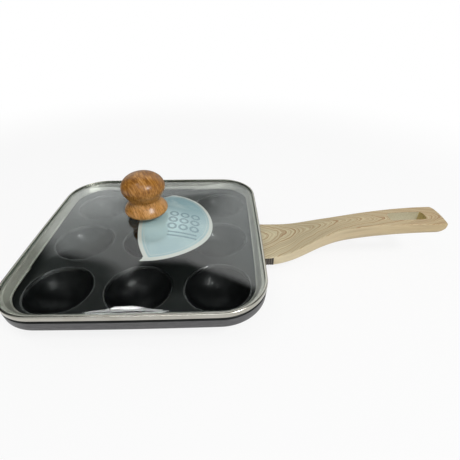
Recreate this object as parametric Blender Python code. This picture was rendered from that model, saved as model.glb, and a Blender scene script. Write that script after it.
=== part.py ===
"""A square paniyaram pan with nine cups, a glass lid and a wood-look handle.

Blender 4.5, metres, +Z up. The origin is the middle of the flat foot under the centre cup,
so the pan stands on Z = 0. The handle runs along +X and +Y is the back.
Every piece is its own object. The lid's pieces hang from the empty lid_lift_axis.
"""
import math

import bmesh
import bpy
from mathutils import Matrix, Vector

MM = 0.001

# Shared clearances
SEAT_GAP = 0.3 * MM             # between two pieces that rest on each other
SIDE_GAP = 0.4 * MM             # between a piece and the pocket that it slides into

# Outline that the pan and the lid share: a square with round corners and slightly bowed sides
LID_SIDE = 228.0 * MM
CORNER_RADIUS = 41.0 * MM
SIDE_BOW_RADIUS = 4400.0 * MM
SIDE_STEPS = 3
CORNER_STEPS = 8

# Cups
CUP_ROWS = 3
CUP_PITCH = 70.0 * MM
CUP_MOUTH_RADIUS = 29.0 * MM
CUP_DEPTH = 20.0 * MM
CUP_FLOOR = 3.6 * MM
CUP_WALL = 3.4 * MM
CUP_FOOT_RADIUS = 10.0 * MM
CUP_LIP_RADIUS = 1.5 * MM
CUP_SEGMENTS = 24
CUP_RINGS = 5
CUP_RING_POWER = 1.5            # sets the rings of the cup's outside closer near its foot
CUP_LIP_STEPS = 2

# Tray around the cups
DECK_THICKNESS = 3.0 * MM
TRAY_DEPTH = 9.4 * MM           # from the deck up to the rim that carries the lid
WALL_THICKNESS = 4.2 * MM
WALL_INSET = 0.3 * MM           # the wall lies this far inside the lid's steel band
WALL_DRAFT = 0.5 * MM           # the wall leans in by this much at its foot
TRAY_EDGE_RADIUS = 4.0 * MM
TRAY_EDGE_STEPS = 4
TRAY_FILLET = 3.0 * MM
TRAY_FILLET_STEPS = 3
RIM_CHAMFER = 1.2 * MM

# Lid: pressed steel rim round a domed glass
RIM_SHEET = 0.8 * MM
RIM_LIP_WIDTH = 3.8 * MM
RIM_EDGE_RADIUS = 0.7 * MM
RIM_EDGE_STEPS = 3
SKIRT_INSET = 6.5 * MM
SKIRT_DEPTH = 4.6 * MM
GLASS_THICKNESS = 3.5 * MM
GLASS_RISE = 21.7 * MM
GLASS_FLAT_EDGE = 6.2 * MM      # flat land inside the steel rim before the dome starts
GLASS_DOME_POWER = 2.1
GLASS_RINGS = 8

# Knob and what clamps it to the glass
KNOB_FOOT_RADIUS = 15.6 * MM
KNOB_BASE_RADIUS = 20.8 * MM
KNOB_NECK_RADIUS = 15.0 * MM
KNOB_BALL_RADIUS = 20.6 * MM
KNOB_BASE_HEIGHT = 3.8 * MM     # from the foot up to the widest part of the base
KNOB_NECK_HEIGHT = 14.6 * MM
KNOB_BALL_HEIGHT = 27.1 * MM    # from the foot up to the middle of the ball
KNOB_BALL_RISE = 13.9 * MM      # from the middle of the ball to its top
KNOB_CROWN_RADIUS = 1.0 * MM
KNOB_SWELL_POWER = 1.35         # how gently the neck swells into the ball
KNOB_SEGMENTS = 28
KNOB_BASE_STEPS = 3
KNOB_STEPS = 6                  # for each of its other curves
GLASS_HOLE_RADIUS = 4.0 * MM
GASKET_THICKNESS = 1.2 * MM
UPPER_GASKET_RADIUS = 14.0 * MM
LOWER_GASKET_RADIUS = 9.0 * MM
KNOB_WASHER_RADIUS = 8.5 * MM
KNOB_WASHER_THICKNESS = 1.0 * MM
KNOB_SCREW_RADIUS = 2.4 * MM
KNOB_SCREW_HEAD_RADIUS = 4.6 * MM
KNOB_SCREW_HEAD_HEIGHT = 2.6 * MM
INSERT_RADIUS = 4.4 * MM
INSERT_LENGTH = 12.0 * MM
INSERT_DEPTH = 0.6 * MM         # the brass insert starts this far up inside the knob
INSERT_END_ROOM = 0.6 * MM      # left above it at the end of its bore

# Care card under the glass
CARD_RADIUS = 59.5 * MM
CARD_CENTRE_X = 4.5 * MM        # its hole is off its middle
CARD_THICKNESS = 0.4 * MM
CARD_SAG = 9.6 * MM
CARD_SAG_POWER = 1.3
CARD_RINGS = 5
CARD_SEGMENTS = 40
CARD_CUT = 10.6 * MM            # from the screw to the card's straight edge
CARD_CUT_ANGLE = math.radians(192.0)

# Handle fixing: cast lug and tongue, flame guard, one screw from below
LUG_WIDTH = 56.0 * MM
LUG_HEIGHT = 8.4 * MM
LUG_REACH = 2.6 * MM            # beyond the tray's wall
LUG_ROOT = 18.0 * MM            # inward from the tray's wall, under the deck
LUG_TOP_RISE = 0.4 * MM         # the lug's top above the tray's underside
TONGUE_WIDTH = 22.0 * MM
TONGUE_HEIGHT = 4.6 * MM
TONGUE_LENGTH = 36.0 * MM
TONGUE_SLOPE = 0.17
TONGUE_RISE = 0.3 * MM          # its root above the middle of the lug
GUARD_LENGTH = 9.0 * MM
GUARD_SHEET = 1.2 * MM
HANDLE_SCREW_X = 24.0 * MM      # from the lug's face
HANDLE_SCREW_RADIUS = 2.4 * MM
HANDLE_SCREW_HEAD_RADIUS = 4.2 * MM
HANDLE_SCREW_HEAD_HEIGHT = 1.7 * MM
HANDLE_WASHER_RADIUS = 4.6 * MM
HANDLE_WASHER_THICKNESS = 0.7 * MM
SCREW_POCKET_WALL = 1.4 * MM    # grip material between the screw's pocket and the tongue's socket
SCREW_TIP_COVER = 1.0 * MM      # the screw stops this far below the tongue's top

# Form of both screws and their washers
SCREW_SEGMENTS = 16
WASHER_SEGMENTS = 24
SCREW_DOME = 0.35               # share of the head's height that is domed
SCREW_FLAT = 0.7                # radius of the dome's flat middle, as a share of the head's
SCREW_TAPER = 0.4               # taper at the tip, as a share of the shank's radius
RECESS_ARM = 0.55               # cross recess, as shares of the head's radius
RECESS_HALF_WIDTH = 0.14
RECESS_DEPTH = 0.28

# Grip: a broad root, a narrow waist and a wider end, rising in a long S
GRIP_LENGTH = 184.0 * MM        # from the tray's wall to the grip's end
GRIP_LIP = 1.1 * MM             # the grip's top lip over the flame guard
GRIP_RISE = 28.6 * MM
GRIP_LEAD_IN = 63.6 * MM
GRIP_LEAD_OUT = 144.5 * MM
GRIP_ROOT_WIDTH = 59.4 * MM
GRIP_WAIST_WIDTH = 25.4 * MM
GRIP_END_WIDTH = 33.4 * MM
GRIP_WAIST_X = 90.0 * MM        # from the tray's wall to the waist
GRIP_ROOT_DEPTH = 10.6 * MM
GRIP_WAIST_DEPTH = 15.4 * MM
GRIP_END_DEPTH = 11.4 * MM
GRIP_TIP_DEPTH = 5.6 * MM
GRIP_TIP_LENGTH = 9.0 * MM      # the underside rises over this length at the end
GRIP_TIP_STATIONS = 4
GRIP_TOP_ROUND = 0.9 * MM
GRIP_TOP_STEPS = 2
GRIP_ROOT_ROUND = 1.2 * MM      # radius along the underside's edges at the root
GRIP_BELLY_ROUND = 3.8 * MM     # and from the waist on
GRIP_BELLY_LIMIT = 0.7          # the most of the side's height that it takes
GRIP_BELLY_STEPS = 4
GRIP_STATIONS = 24
SLOT_LENGTH = 37.0 * MM
SLOT_WIDTH = 14.0 * MM
SLOT_CORNER = 5.0 * MM
SLOT_CORNER_STEPS = 5
SLOT_END_MARGIN = 13.6 * MM

# Heights and places that follow from the sizes above
DECK_TOP = CUP_FLOOR + CUP_DEPTH
TRAY_BOTTOM = DECK_TOP - DECK_THICKNESS
RIM_TOP = DECK_TOP + TRAY_DEPTH
LEDGE_BOTTOM = RIM_TOP + SEAT_GAP
LEDGE_TOP = LEDGE_BOTTOM + RIM_SHEET
GLASS_EDGE_BOTTOM = LEDGE_TOP + SEAT_GAP
GLASS_EDGE_TOP = GLASS_EDGE_BOTTOM + GLASS_THICKNESS
LIP_BOTTOM = GLASS_EDGE_TOP + SEAT_GAP
LID_TOP = LIP_BOTTOM + RIM_SHEET
GLASS_INSET = RIM_SHEET + SIDE_GAP
DOME_REACH = LID_SIDE / 2 - GLASS_INSET - GLASS_FLAT_EDGE
GLASS_TOP = GLASS_EDGE_TOP + GLASS_RISE
GLASS_UNDERSIDE = GLASS_TOP - GLASS_THICKNESS
KNOB_FOOT = GLASS_TOP + SEAT_GAP + GASKET_THICKNESS + SEAT_GAP
LOWER_GASKET_TOP = GLASS_UNDERSIDE - SEAT_GAP
CARD_TOP = LOWER_GASKET_TOP - GASKET_THICKNESS - SEAT_GAP
KNOB_WASHER_TOP = CARD_TOP - CARD_THICKNESS - SEAT_GAP
KNOB_SCREW_SEAT = KNOB_WASHER_TOP - KNOB_WASHER_THICKNESS - SEAT_GAP
WALL_X = LID_SIDE / 2 - WALL_INSET
LUG_TOP = TRAY_BOTTOM + LUG_TOP_RISE
LUG_BOTTOM = LUG_TOP - LUG_HEIGHT
LUG_FACE_X = WALL_X + LUG_REACH
GUARD_START_X = LUG_FACE_X + SEAT_GAP
GUARD_END_X = GUARD_START_X + GUARD_LENGTH
GUARD_TOP = LUG_TOP + SEAT_GAP
GRIP_START_X = WALL_X + SIDE_GAP
GRIP_ROOT_X = GUARD_END_X + SEAT_GAP
GRIP_END_X = WALL_X + GRIP_LENGTH
GRIP_ROOT_TOP = GUARD_TOP + SEAT_GAP + GRIP_LIP
GRIP_ROOT_BOTTOM = GRIP_ROOT_TOP - GRIP_ROOT_DEPTH
GUARD_BOTTOM = GRIP_ROOT_BOTTOM + SEAT_GAP
TONGUE_MIDDLE = (LUG_TOP + LUG_BOTTOM) / 2 + TONGUE_RISE
SCREW_HOLE_RADIUS = HANDLE_SCREW_RADIUS + SEAT_GAP
HANDLE_SCREW_AT_X = LUG_FACE_X + HANDLE_SCREW_X


def clear_scene():
    """Remove the objects of the scene that the script starts in."""
    for item in list(bpy.data.objects):
        bpy.data.objects.remove(item, do_unlink=True)


def make_material(name, colour, roughness, metallic=0.0, transmission=0.0):
    """Return a Principled material of one colour."""
    material = bpy.data.materials.new(name)
    material.use_nodes = True
    shader = material.node_tree.nodes["Principled BSDF"]
    shader.inputs["Base Color"].default_value = (*colour, 1.0)
    shader.inputs["Roughness"].default_value = roughness
    shader.inputs["Metallic"].default_value = metallic
    shader.inputs["Transmission Weight"].default_value = transmission
    material.diffuse_color = (*colour, 1.0)
    return material


def add_object(name, bm, material, parent=None, smooth_angle=30.0):
    """Turn a bmesh into a named object with outward faces."""
    bmesh.ops.recalc_face_normals(bm, faces=bm.faces)
    mesh = bpy.data.meshes.new(name)
    bm.to_mesh(mesh)
    bm.free()
    if material is not None:
        mesh.materials.append(material)
    mesh.shade_smooth()
    mesh.set_sharp_from_angle(angle=math.radians(smooth_angle))
    item = bpy.data.objects.new(name, mesh)
    bpy.context.scene.collection.objects.link(item)
    item.parent = parent
    return item


def add_boolean(target, tool, operation):
    """Join or cut the target with a hidden tool object."""
    tool.hide_render = True
    tool.display_type = "WIRE"
    modifier = target.modifiers.new(tool.name, "BOOLEAN")
    modifier.operation = operation
    modifier.object = tool
    modifier.solver = "EXACT"


def arc(centre, radius, start, end, steps):
    """Return points on an arc in the plane, both ends included."""
    points = []
    for step in range(steps + 1):
        angle = math.radians(start + (end - start) * step / steps)
        points.append((centre[0] + radius * math.cos(angle), centre[1] + radius * math.sin(angle)))
    return points


def ease(value):
    """Return a smooth step from 0 to 1 with level ends."""
    value = min(max(value, 0.0), 1.0)
    return (1 - math.cos(math.pi * value)) / 2


def outline(inset):
    """Return the points of the shared outline, moved inward by an even inset.

    Four side arcs meet four corner arcs at a common tangent, so an inset keeps every centre
    and only shortens the radii.
    """
    half = LID_SIDE / 2
    side_centre = SIDE_BOW_RADIUS - half
    reach = SIDE_BOW_RADIUS - CORNER_RADIUS
    corner = (math.sqrt(2 * reach * reach - side_centre * side_centre) - side_centre) / 2
    turn = math.degrees(math.atan2(corner, corner + side_centre))
    points = []
    for quarter in range(4):
        spin = Matrix.Rotation(math.radians(90 * quarter), 2)
        side = arc((-side_centre, 0), SIDE_BOW_RADIUS - inset, -turn, turn, SIDE_STEPS)
        round_corner = arc((corner, corner), CORNER_RADIUS - inset, turn, 90 - turn, CORNER_STEPS)
        for point in side[:-1] + round_corner[:-1]:
            points.append(spin @ Vector(point))
    return points


def bridge(bm, lower, upper):
    """Fill the band between two loops of as many vertices."""
    count = len(lower)
    for index in range(count):
        following = (index + 1) % count
        bm.faces.new((lower[index], lower[following], upper[following], upper[index]))


def loft(loops, closed=False):
    """Return a bmesh through a list of loops, capped at both ends or closed on itself."""
    bm = bmesh.new()
    rows = [[bm.verts.new(point) for point in loop] for loop in loops]
    for lower, upper in zip(rows, rows[1:]):
        bridge(bm, lower, upper)
    if closed:
        bridge(bm, rows[-1], rows[0])
    else:
        bm.faces.new(list(reversed(rows[0])))
        bm.faces.new(rows[-1])
    return bm


def outline_loops(profile):
    """Return the shared outline at each inset and height of a profile."""
    return [[(x, y, height) for x, y in outline(inset)] for inset, height in profile]


def ring_points(radius, height, segments, centre=(0.0, 0.0)):
    """Return a circle of points round a vertical axis."""
    points = []
    for index in range(segments):
        angle = 2 * math.pi * index / segments
        x = centre[0] + radius * math.cos(angle)
        y = centre[1] + radius * math.sin(angle)
        points.append((x, y, height))
    return points


def turn_profile(profile, segments, centre=(0.0, 0.0), closed=False):
    """Turn a profile of radius and height round a vertical axis."""
    loops = [ring_points(radius, height, segments, centre) for radius, height in profile]
    return loft(loops, closed)


def prism(points, direction):
    """Push a flat outline along a direction."""
    shift = Vector(direction)
    first = [Vector(point) for point in points]
    return loft([first, [point + shift for point in first]])


def merge(parts):
    """Put several bmeshes that don't touch into one."""
    combined = bmesh.new()
    for part in parts:
        mesh = bpy.data.meshes.new("part_of_a_tool")
        part.to_mesh(mesh)
        part.free()
        combined.from_mesh(mesh)
        bpy.data.meshes.remove(mesh)
    return combined


def cup_centres():
    """Return the middles of the cups, row by row."""
    half = (CUP_ROWS - 1) / 2
    steps = [(index - half) * CUP_PITCH for index in range(CUP_ROWS)]
    return [(x, y) for y in steps for x in steps]


def cup_sphere():
    """Return the radius and centre height of the sphere that the cup's inside follows."""
    radius = (CUP_MOUTH_RADIUS ** 2 + CUP_DEPTH ** 2) / (2 * CUP_DEPTH)
    return radius, CUP_FLOOR + radius


def cup_cavity_profile():
    """Return the inside of one cup from above the deck to its bottom, with a round lip."""
    radius, centre = cup_sphere()
    lip_end = DECK_TOP - CUP_LIP_RADIUS
    top_angle = math.asin((centre - lip_end) / radius)
    mouth = radius * math.cos(top_angle)
    lip = arc((mouth + CUP_LIP_RADIUS, lip_end), CUP_LIP_RADIUS, 90, 180, CUP_LIP_STEPS)
    profile = [(mouth + CUP_LIP_RADIUS, DECK_TOP + CUP_LIP_RADIUS)] + lip[:-1]
    for ring in range(CUP_RINGS):
        angle = top_angle + (math.pi / 2 - top_angle) * ring / CUP_RINGS
        profile.append((radius * math.cos(angle), centre - radius * math.sin(angle)))
    return profile


def cup_outside_profile():
    """Return the outside of one cup from its flat foot up into the deck."""
    radius, centre = cup_sphere()
    inside = math.sqrt(radius ** 2 - (centre - TRAY_BOTTOM) ** 2)
    outside = inside + CUP_WALL
    outer_centre = (outside ** 2 + TRAY_BOTTOM ** 2 - CUP_FOOT_RADIUS ** 2) / (2 * TRAY_BOTTOM)
    outer_radius = math.hypot(CUP_FOOT_RADIUS, outer_centre)
    profile = []
    for ring in range(CUP_RINGS):
        height = TRAY_BOTTOM * (ring / (CUP_RINGS - 1)) ** CUP_RING_POWER
        profile.append((math.sqrt(outer_radius ** 2 - (outer_centre - height) ** 2), height))
    profile.append((outside, TRAY_BOTTOM + DECK_THICKNESS / 2))
    return profile


def tray_profile():
    """Return the tray's section as inset and height, from its underside to its deck."""
    foot_inset = WALL_INSET + WALL_DRAFT
    inner_inset = WALL_INSET + WALL_THICKNESS
    outer_arc = arc((foot_inset + TRAY_EDGE_RADIUS, TRAY_BOTTOM + TRAY_EDGE_RADIUS),
                    TRAY_EDGE_RADIUS, 270, 180, TRAY_EDGE_STEPS)
    inner_arc = arc((inner_inset + WALL_DRAFT + TRAY_FILLET, DECK_TOP + TRAY_FILLET),
                    TRAY_FILLET, 180, 270, TRAY_FILLET_STEPS)
    rim_outer = [(WALL_INSET, RIM_TOP - RIM_CHAMFER), (WALL_INSET + RIM_CHAMFER, RIM_TOP)]
    rim_inner = [(inner_inset - RIM_CHAMFER / 2, RIM_TOP), (inner_inset, RIM_TOP - RIM_CHAMFER / 2)]
    return outer_arc + rim_outer + rim_inner + inner_arc


def lug_section():
    """Return the side view of the cast lug under the tray's edge."""
    inner_x = WALL_X - LUG_ROOT
    shoulder_x = WALL_X - TRAY_EDGE_RADIUS / 2
    under_deck = TRAY_BOTTOM + DECK_THICKNESS / 2
    outline_xz = [(inner_x, LUG_BOTTOM), (LUG_FACE_X, LUG_BOTTOM), (LUG_FACE_X, LUG_TOP)]
    outline_xz += [(WALL_X, LUG_TOP), (shoulder_x, under_deck + LUG_TOP_RISE), (inner_x, under_deck)]
    return outline_xz


def tongue_section(clearance):
    """Return the side view of the sloping tongue, grown evenly by a clearance."""
    start_x = LUG_FACE_X - SEAT_GAP if clearance == 0 else GUARD_END_X
    end_x = LUG_FACE_X + TONGUE_LENGTH + clearance
    half = TONGUE_HEIGHT / 2 + clearance
    points = []
    for x, side in ((start_x, -1), (end_x, -1), (end_x, 1), (start_x, 1)):
        points.append((x, tongue_height(x) + side * half))
    return points


def tongue_height(x):
    """Return the height of the tongue's middle line at a distance along X."""
    return TONGUE_MIDDLE + TONGUE_SLOPE * (x - LUG_FACE_X)


def side_prism(section, width):
    """Push a side view, given in X and Z, through a width centred on Y = 0."""
    points = [(x, -width / 2, z) for x, z in section]
    return prism(points, (0, width, 0))


def vertical_cylinder(radius, bottom, top, centre, segments=WASHER_SEGMENTS):
    """Return an upright cylinder."""
    return turn_profile([(radius, bottom), (radius, top)], segments, centre)


def build_pan_body(material):
    """Build the casting: tray, nine cups, handle lug and tongue."""
    body = add_object("pan_body", loft(outline_loops(tray_profile())), material)
    cups = merge([turn_profile(cup_outside_profile(), CUP_SEGMENTS, at) for at in cup_centres()])
    add_boolean(body, add_object("cup_outsides", cups, None), "UNION")
    lug = side_prism(lug_section(), LUG_WIDTH)
    add_boolean(body, add_object("handle_lug", lug, None), "UNION")
    tongue = side_prism(tongue_section(0), TONGUE_WIDTH)
    add_boolean(body, add_object("handle_tongue", tongue, None), "UNION")
    hollows = merge([turn_profile(cup_cavity_profile(), CUP_SEGMENTS, at) for at in cup_centres()])
    add_boolean(body, add_object("cup_insides", hollows, None), "DIFFERENCE")
    top = tongue_height(HANDLE_SCREW_AT_X) + TONGUE_HEIGHT
    hole = vertical_cylinder(SCREW_HOLE_RADIUS, LUG_BOTTOM, top, (HANDLE_SCREW_AT_X, 0),
                             SCREW_SEGMENTS)
    add_boolean(body, add_object("tongue_screw_hole", hole, None), "DIFFERENCE")
    return body


def build_flame_guard(material):
    """Build the dark steel collar between the lug and the grip, open toward the lug."""
    width = GRIP_ROOT_WIDTH - 2 * SEAT_GAP
    outside = [(GUARD_START_X, GUARD_BOTTOM), (GUARD_END_X, GUARD_BOTTOM)]
    outside += [(GUARD_END_X, GUARD_TOP), (GUARD_START_X, GUARD_TOP)]
    guard = add_object("flame_guard", side_prism(outside, width), material)
    inner_start = GUARD_START_X - GUARD_SHEET
    inner_end = GUARD_END_X - GUARD_SHEET
    inner_bottom = GUARD_BOTTOM + GUARD_SHEET
    inner_top = GUARD_TOP - GUARD_SHEET
    hollow = [(inner_start, inner_bottom), (inner_end, inner_bottom)]
    hollow += [(inner_end, inner_top), (inner_start, inner_top)]
    cutter = add_object("guard_hollow", side_prism(hollow, width - 2 * GUARD_SHEET), None)
    add_boolean(guard, cutter, "DIFFERENCE")
    half = TONGUE_HEIGHT / 2 + SIDE_GAP
    slot = []
    for x, side in ((inner_start, -1), (GRIP_ROOT_X, -1), (GRIP_ROOT_X, 1), (inner_start, 1)):
        slot.append((x, tongue_height(x) + side * half))
    window = add_object("guard_window", side_prism(slot, TONGUE_WIDTH + 2 * SIDE_GAP), None)
    add_boolean(guard, window, "DIFFERENCE")
    return guard


def grip_curve(share):
    """Return X and the top height on the grip's S-curve, a cubic from root to end."""
    points = ((GRIP_START_X, GRIP_ROOT_TOP), (GRIP_START_X + GRIP_LEAD_IN, GRIP_ROOT_TOP),
              (GRIP_END_X - GRIP_LEAD_OUT, GRIP_ROOT_TOP + GRIP_RISE),
              (GRIP_END_X, GRIP_ROOT_TOP + GRIP_RISE))
    rest = 1 - share
    weights = (rest ** 3, 3 * rest * rest * share, 3 * rest * share * share, share ** 3)
    x = sum(weight * point[0] for weight, point in zip(weights, points))
    z = sum(weight * point[1] for weight, point in zip(weights, points))
    return x, z


def grip_share_at(x):
    """Return the share of the S-curve at which it reaches a distance along X."""
    low = 0.0
    high = 1.0
    for _ in range(40):
        middle = (low + high) / 2
        if grip_curve(middle)[0] < x:
            low = middle
        else:
            high = middle
    return (low + high) / 2


def grip_top(x):
    """Return the height of the grip's top face at a distance along X."""
    return grip_curve(grip_share_at(x))[1]


def grip_width(x):
    """Return the grip's width at a distance along X."""
    waist_x = WALL_X + GRIP_WAIST_X
    if x < waist_x:
        share = ease((x - GRIP_START_X) / (waist_x - GRIP_START_X))
        return GRIP_ROOT_WIDTH + (GRIP_WAIST_WIDTH - GRIP_ROOT_WIDTH) * share
    share = ease((x - waist_x) / (GRIP_END_X - waist_x))
    return GRIP_WAIST_WIDTH + (GRIP_END_WIDTH - GRIP_WAIST_WIDTH) * share


def grip_depth(x):
    """Return the grip's depth from top to underside at a distance along X."""
    waist_x = WALL_X + GRIP_WAIST_X
    if x < waist_x:
        share = ease((x - GRIP_START_X) / (waist_x - GRIP_START_X))
        depth = GRIP_ROOT_DEPTH + (GRIP_WAIST_DEPTH - GRIP_ROOT_DEPTH) * share
    else:
        share = ease((x - waist_x) / (GRIP_END_X - waist_x))
        depth = GRIP_WAIST_DEPTH + (GRIP_END_DEPTH - GRIP_WAIST_DEPTH) * share
    tip = (x - (GRIP_END_X - GRIP_TIP_LENGTH)) / GRIP_TIP_LENGTH
    if tip > 0:
        depth -= (GRIP_END_DEPTH - GRIP_TIP_DEPTH) * (1 - math.sqrt(max(1 - tip * tip, 0.0)))
    return depth


def grip_section(x):
    """Return the grip's cross-section: flat top with crisp edges and a rounded underside."""
    half = grip_width(x) / 2
    top = grip_top(x)
    bottom = top - grip_depth(x)
    crisp = GRIP_TOP_ROUND
    belly_share = ease((x - GRIP_START_X) / GRIP_WAIST_X)
    belly = GRIP_ROOT_ROUND + (GRIP_BELLY_ROUND - GRIP_ROOT_ROUND) * belly_share
    belly = min(belly, (top - bottom - crisp) * GRIP_BELLY_LIMIT)
    points = arc((half - belly, bottom + belly), belly, -90, 0, GRIP_BELLY_STEPS)
    points += arc((half - crisp, top - crisp), crisp, 0, 90, GRIP_TOP_STEPS)
    points += arc((crisp - half, top - crisp), crisp, 90, 180, GRIP_TOP_STEPS)
    points += arc((belly - half, bottom + belly), belly, 180, 270, GRIP_BELLY_STEPS)
    return [(x, y, z) for y, z in points]


def rounded_slot(length, width, corner, bottom, top, centre_x):
    """Return an upright prism with a rounded rectangle as its outline."""
    across = width / 2 - corner
    along = length / 2 - corner
    corners = ((along, across), (-along, across), (-along, -across), (along, -across))
    points = []
    for index, (x, y) in enumerate(corners):
        start = 90 * index
        points += arc((centre_x + x, y), corner, start, start + 90, SLOT_CORNER_STEPS)
    return prism([(x, y, bottom) for x, y in points], (0, 0, top - bottom))


def handle_screw_seat():
    """Return the height of the face that the handle screw's washer bears on."""
    socket_x = HANDLE_SCREW_AT_X - HANDLE_WASHER_RADIUS
    socket_bottom = tongue_height(socket_x) - TONGUE_HEIGHT / 2 - SIDE_GAP
    return socket_bottom - SCREW_POCKET_WALL


def grip_stations():
    """Return the places of the grip's cross-sections, closer together at its rounded end."""
    stations = [grip_curve(index / (GRIP_STATIONS - 1))[0] for index in range(GRIP_STATIONS)]
    for index in range(GRIP_TIP_STATIONS):
        turn = math.pi / 2 * (index + 1) / (GRIP_TIP_STATIONS + 1)
        stations.append(GRIP_END_X - GRIP_TIP_LENGTH * (1 - math.sin(turn)))
    return sorted(stations)


def build_grip(material):
    """Build the wood-look grip with its rebate, socket, screw hole and hang slot."""
    loops = [grip_section(x) for x in grip_stations()]
    grip = add_object("handle_grip", loft(loops), material, smooth_angle=40.0)

    below = GRIP_ROOT_BOTTOM - GRIP_ROOT_DEPTH
    rebate = [(WALL_X - SIDE_GAP, below), (GRIP_ROOT_X, below)]
    rebate += [(GRIP_ROOT_X, GUARD_TOP + SEAT_GAP), (WALL_X - SIDE_GAP, GUARD_TOP + SEAT_GAP)]
    add_boolean(grip, add_object("grip_rebate", side_prism(rebate, 2 * GRIP_ROOT_WIDTH), None),
                "DIFFERENCE")
    socket = side_prism(tongue_section(SIDE_GAP), TONGUE_WIDTH + 2 * SIDE_GAP)
    add_boolean(grip, add_object("grip_socket", socket, None), "DIFFERENCE")

    at = (HANDLE_SCREW_AT_X, 0)
    hole = vertical_cylinder(SCREW_HOLE_RADIUS, below, tongue_height(at[0]), at, SCREW_SEGMENTS)
    add_boolean(grip, add_object("grip_screw_hole", hole, None), "DIFFERENCE")
    pocket = vertical_cylinder(HANDLE_WASHER_RADIUS + SIDE_GAP, below, handle_screw_seat(), at)
    add_boolean(grip, add_object("grip_screw_pocket", pocket, None), "DIFFERENCE")

    slot_x = GRIP_END_X - SLOT_END_MARGIN - SLOT_LENGTH / 2
    slot_top = GRIP_ROOT_TOP + GRIP_RISE + GRIP_END_DEPTH
    slot = rounded_slot(SLOT_LENGTH, SLOT_WIDTH, SLOT_CORNER, GRIP_ROOT_BOTTOM, slot_top, slot_x)
    add_boolean(grip, add_object("hang_slot", slot, None), "DIFFERENCE")
    return grip


def screw_profile(seat, shank_radius, head_radius, head_height, tip):
    """Return a screw with its head below the seat and its shank going up to the tip."""
    bottom = seat - head_height
    dome = head_height * SCREW_DOME
    edge = head_radius * (1 - SCREW_FLAT)
    turn = math.radians(45)
    shoulder = (head_radius - edge * (1 - math.sin(turn)), bottom + dome * (1 - math.cos(turn)))
    taper = shank_radius * SCREW_TAPER
    profile = [(head_radius - edge, bottom), shoulder, (head_radius, bottom + dome)]
    profile += [(head_radius, seat), (shank_radius, seat)]
    profile += [(shank_radius, tip - taper), (shank_radius - taper, tip)]
    return profile


def cross_recess(name, head_radius, bottom, centre):
    """Return a hidden cross-shaped tool for the drive recess in a screw head."""
    arm = head_radius * RECESS_ARM
    thin = head_radius * RECESS_HALF_WIDTH
    depth = head_radius * RECESS_DEPTH
    corners = [(arm, thin), (thin, thin), (thin, arm), (-thin, arm), (-thin, thin), (-arm, thin)]
    points = corners + [(-x, -y) for x, y in corners]
    placed = [(centre[0] + x, centre[1] + y, bottom - depth) for x, y in points]
    return add_object(name, prism(placed, (0, 0, 2 * depth)), None)


def build_handle_fasteners(screw_material, washer_material):
    """Build the screw and washer that hold the grip on the tongue."""
    at = (HANDLE_SCREW_AT_X, 0)
    washer_top = handle_screw_seat() - SEAT_GAP
    washer_bottom = washer_top - HANDLE_WASHER_THICKNESS
    ring = [(HANDLE_WASHER_RADIUS, washer_bottom), (HANDLE_WASHER_RADIUS, washer_top)]
    ring += [(SCREW_HOLE_RADIUS, washer_top), (SCREW_HOLE_RADIUS, washer_bottom)]
    washer = turn_profile(ring, WASHER_SEGMENTS, at, closed=True)
    add_object("handle_washer", washer, washer_material)
    seat = washer_bottom - SEAT_GAP
    tip = tongue_height(at[0]) + TONGUE_HEIGHT / 2 - SCREW_TIP_COVER
    profile = screw_profile(seat, HANDLE_SCREW_RADIUS, HANDLE_SCREW_HEAD_RADIUS,
                            HANDLE_SCREW_HEAD_HEIGHT, tip)
    screw = add_object("handle_screw", turn_profile(profile, SCREW_SEGMENTS, at), screw_material)
    bottom = seat - HANDLE_SCREW_HEAD_HEIGHT
    recess = cross_recess("handle_screw_recess", HANDLE_SCREW_HEAD_RADIUS, bottom, at)
    add_boolean(screw, recess, "DIFFERENCE")


def rim_profile():
    """Return the section of the lid's steel rim: channel, ledge and skirt."""
    edge = RIM_EDGE_RADIUS
    profile = [(0.0, LEDGE_BOTTOM)]
    profile += arc((edge, LID_TOP - edge), edge, 180, 90, RIM_EDGE_STEPS)
    profile += [(RIM_LIP_WIDTH, LID_TOP), (RIM_LIP_WIDTH, LIP_BOTTOM), (RIM_SHEET, LIP_BOTTOM)]
    skirt_inner = SKIRT_INSET + RIM_SHEET
    skirt_bottom = LEDGE_BOTTOM - SKIRT_DEPTH
    profile += [(RIM_SHEET, LEDGE_TOP), (skirt_inner, LEDGE_TOP), (skirt_inner, skirt_bottom)]
    profile += [(SKIRT_INSET, skirt_bottom), (SKIRT_INSET, LEDGE_BOTTOM)]
    return profile


def glass_loop(edge, size, height):
    """Return a loop of the dome at a size from 1 (its edge) down to the glass hole.

    The loop has the square outline at the edge and turns into a circle toward the middle.
    """
    hole = GLASS_HOLE_RADIUS / DOME_REACH
    squareness = (size - hole) / (1 - hole)
    loop = []
    for point in edge:
        circle = point.normalized() * DOME_REACH
        mixed = (point * squareness + circle * (1 - squareness)) * size
        loop.append((mixed.x, mixed.y, height))
    return loop


def glass_surface(lift):
    """Return the loops of one face of the glass from its edge to its hole."""
    low = GLASS_EDGE_BOTTOM + lift
    loops = [[(x, y, low) for x, y in outline(GLASS_INSET)]]
    edge = outline(GLASS_INSET + GLASS_FLAT_EDGE)
    hole = GLASS_HOLE_RADIUS / DOME_REACH
    for ring in range(GLASS_RINGS + 1):
        size = 1 - (1 - hole) * ring / GLASS_RINGS
        height = low + GLASS_RISE * (1 - size ** GLASS_DOME_POWER)
        loops.append(glass_loop(edge, size, height))
    return loops


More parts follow.
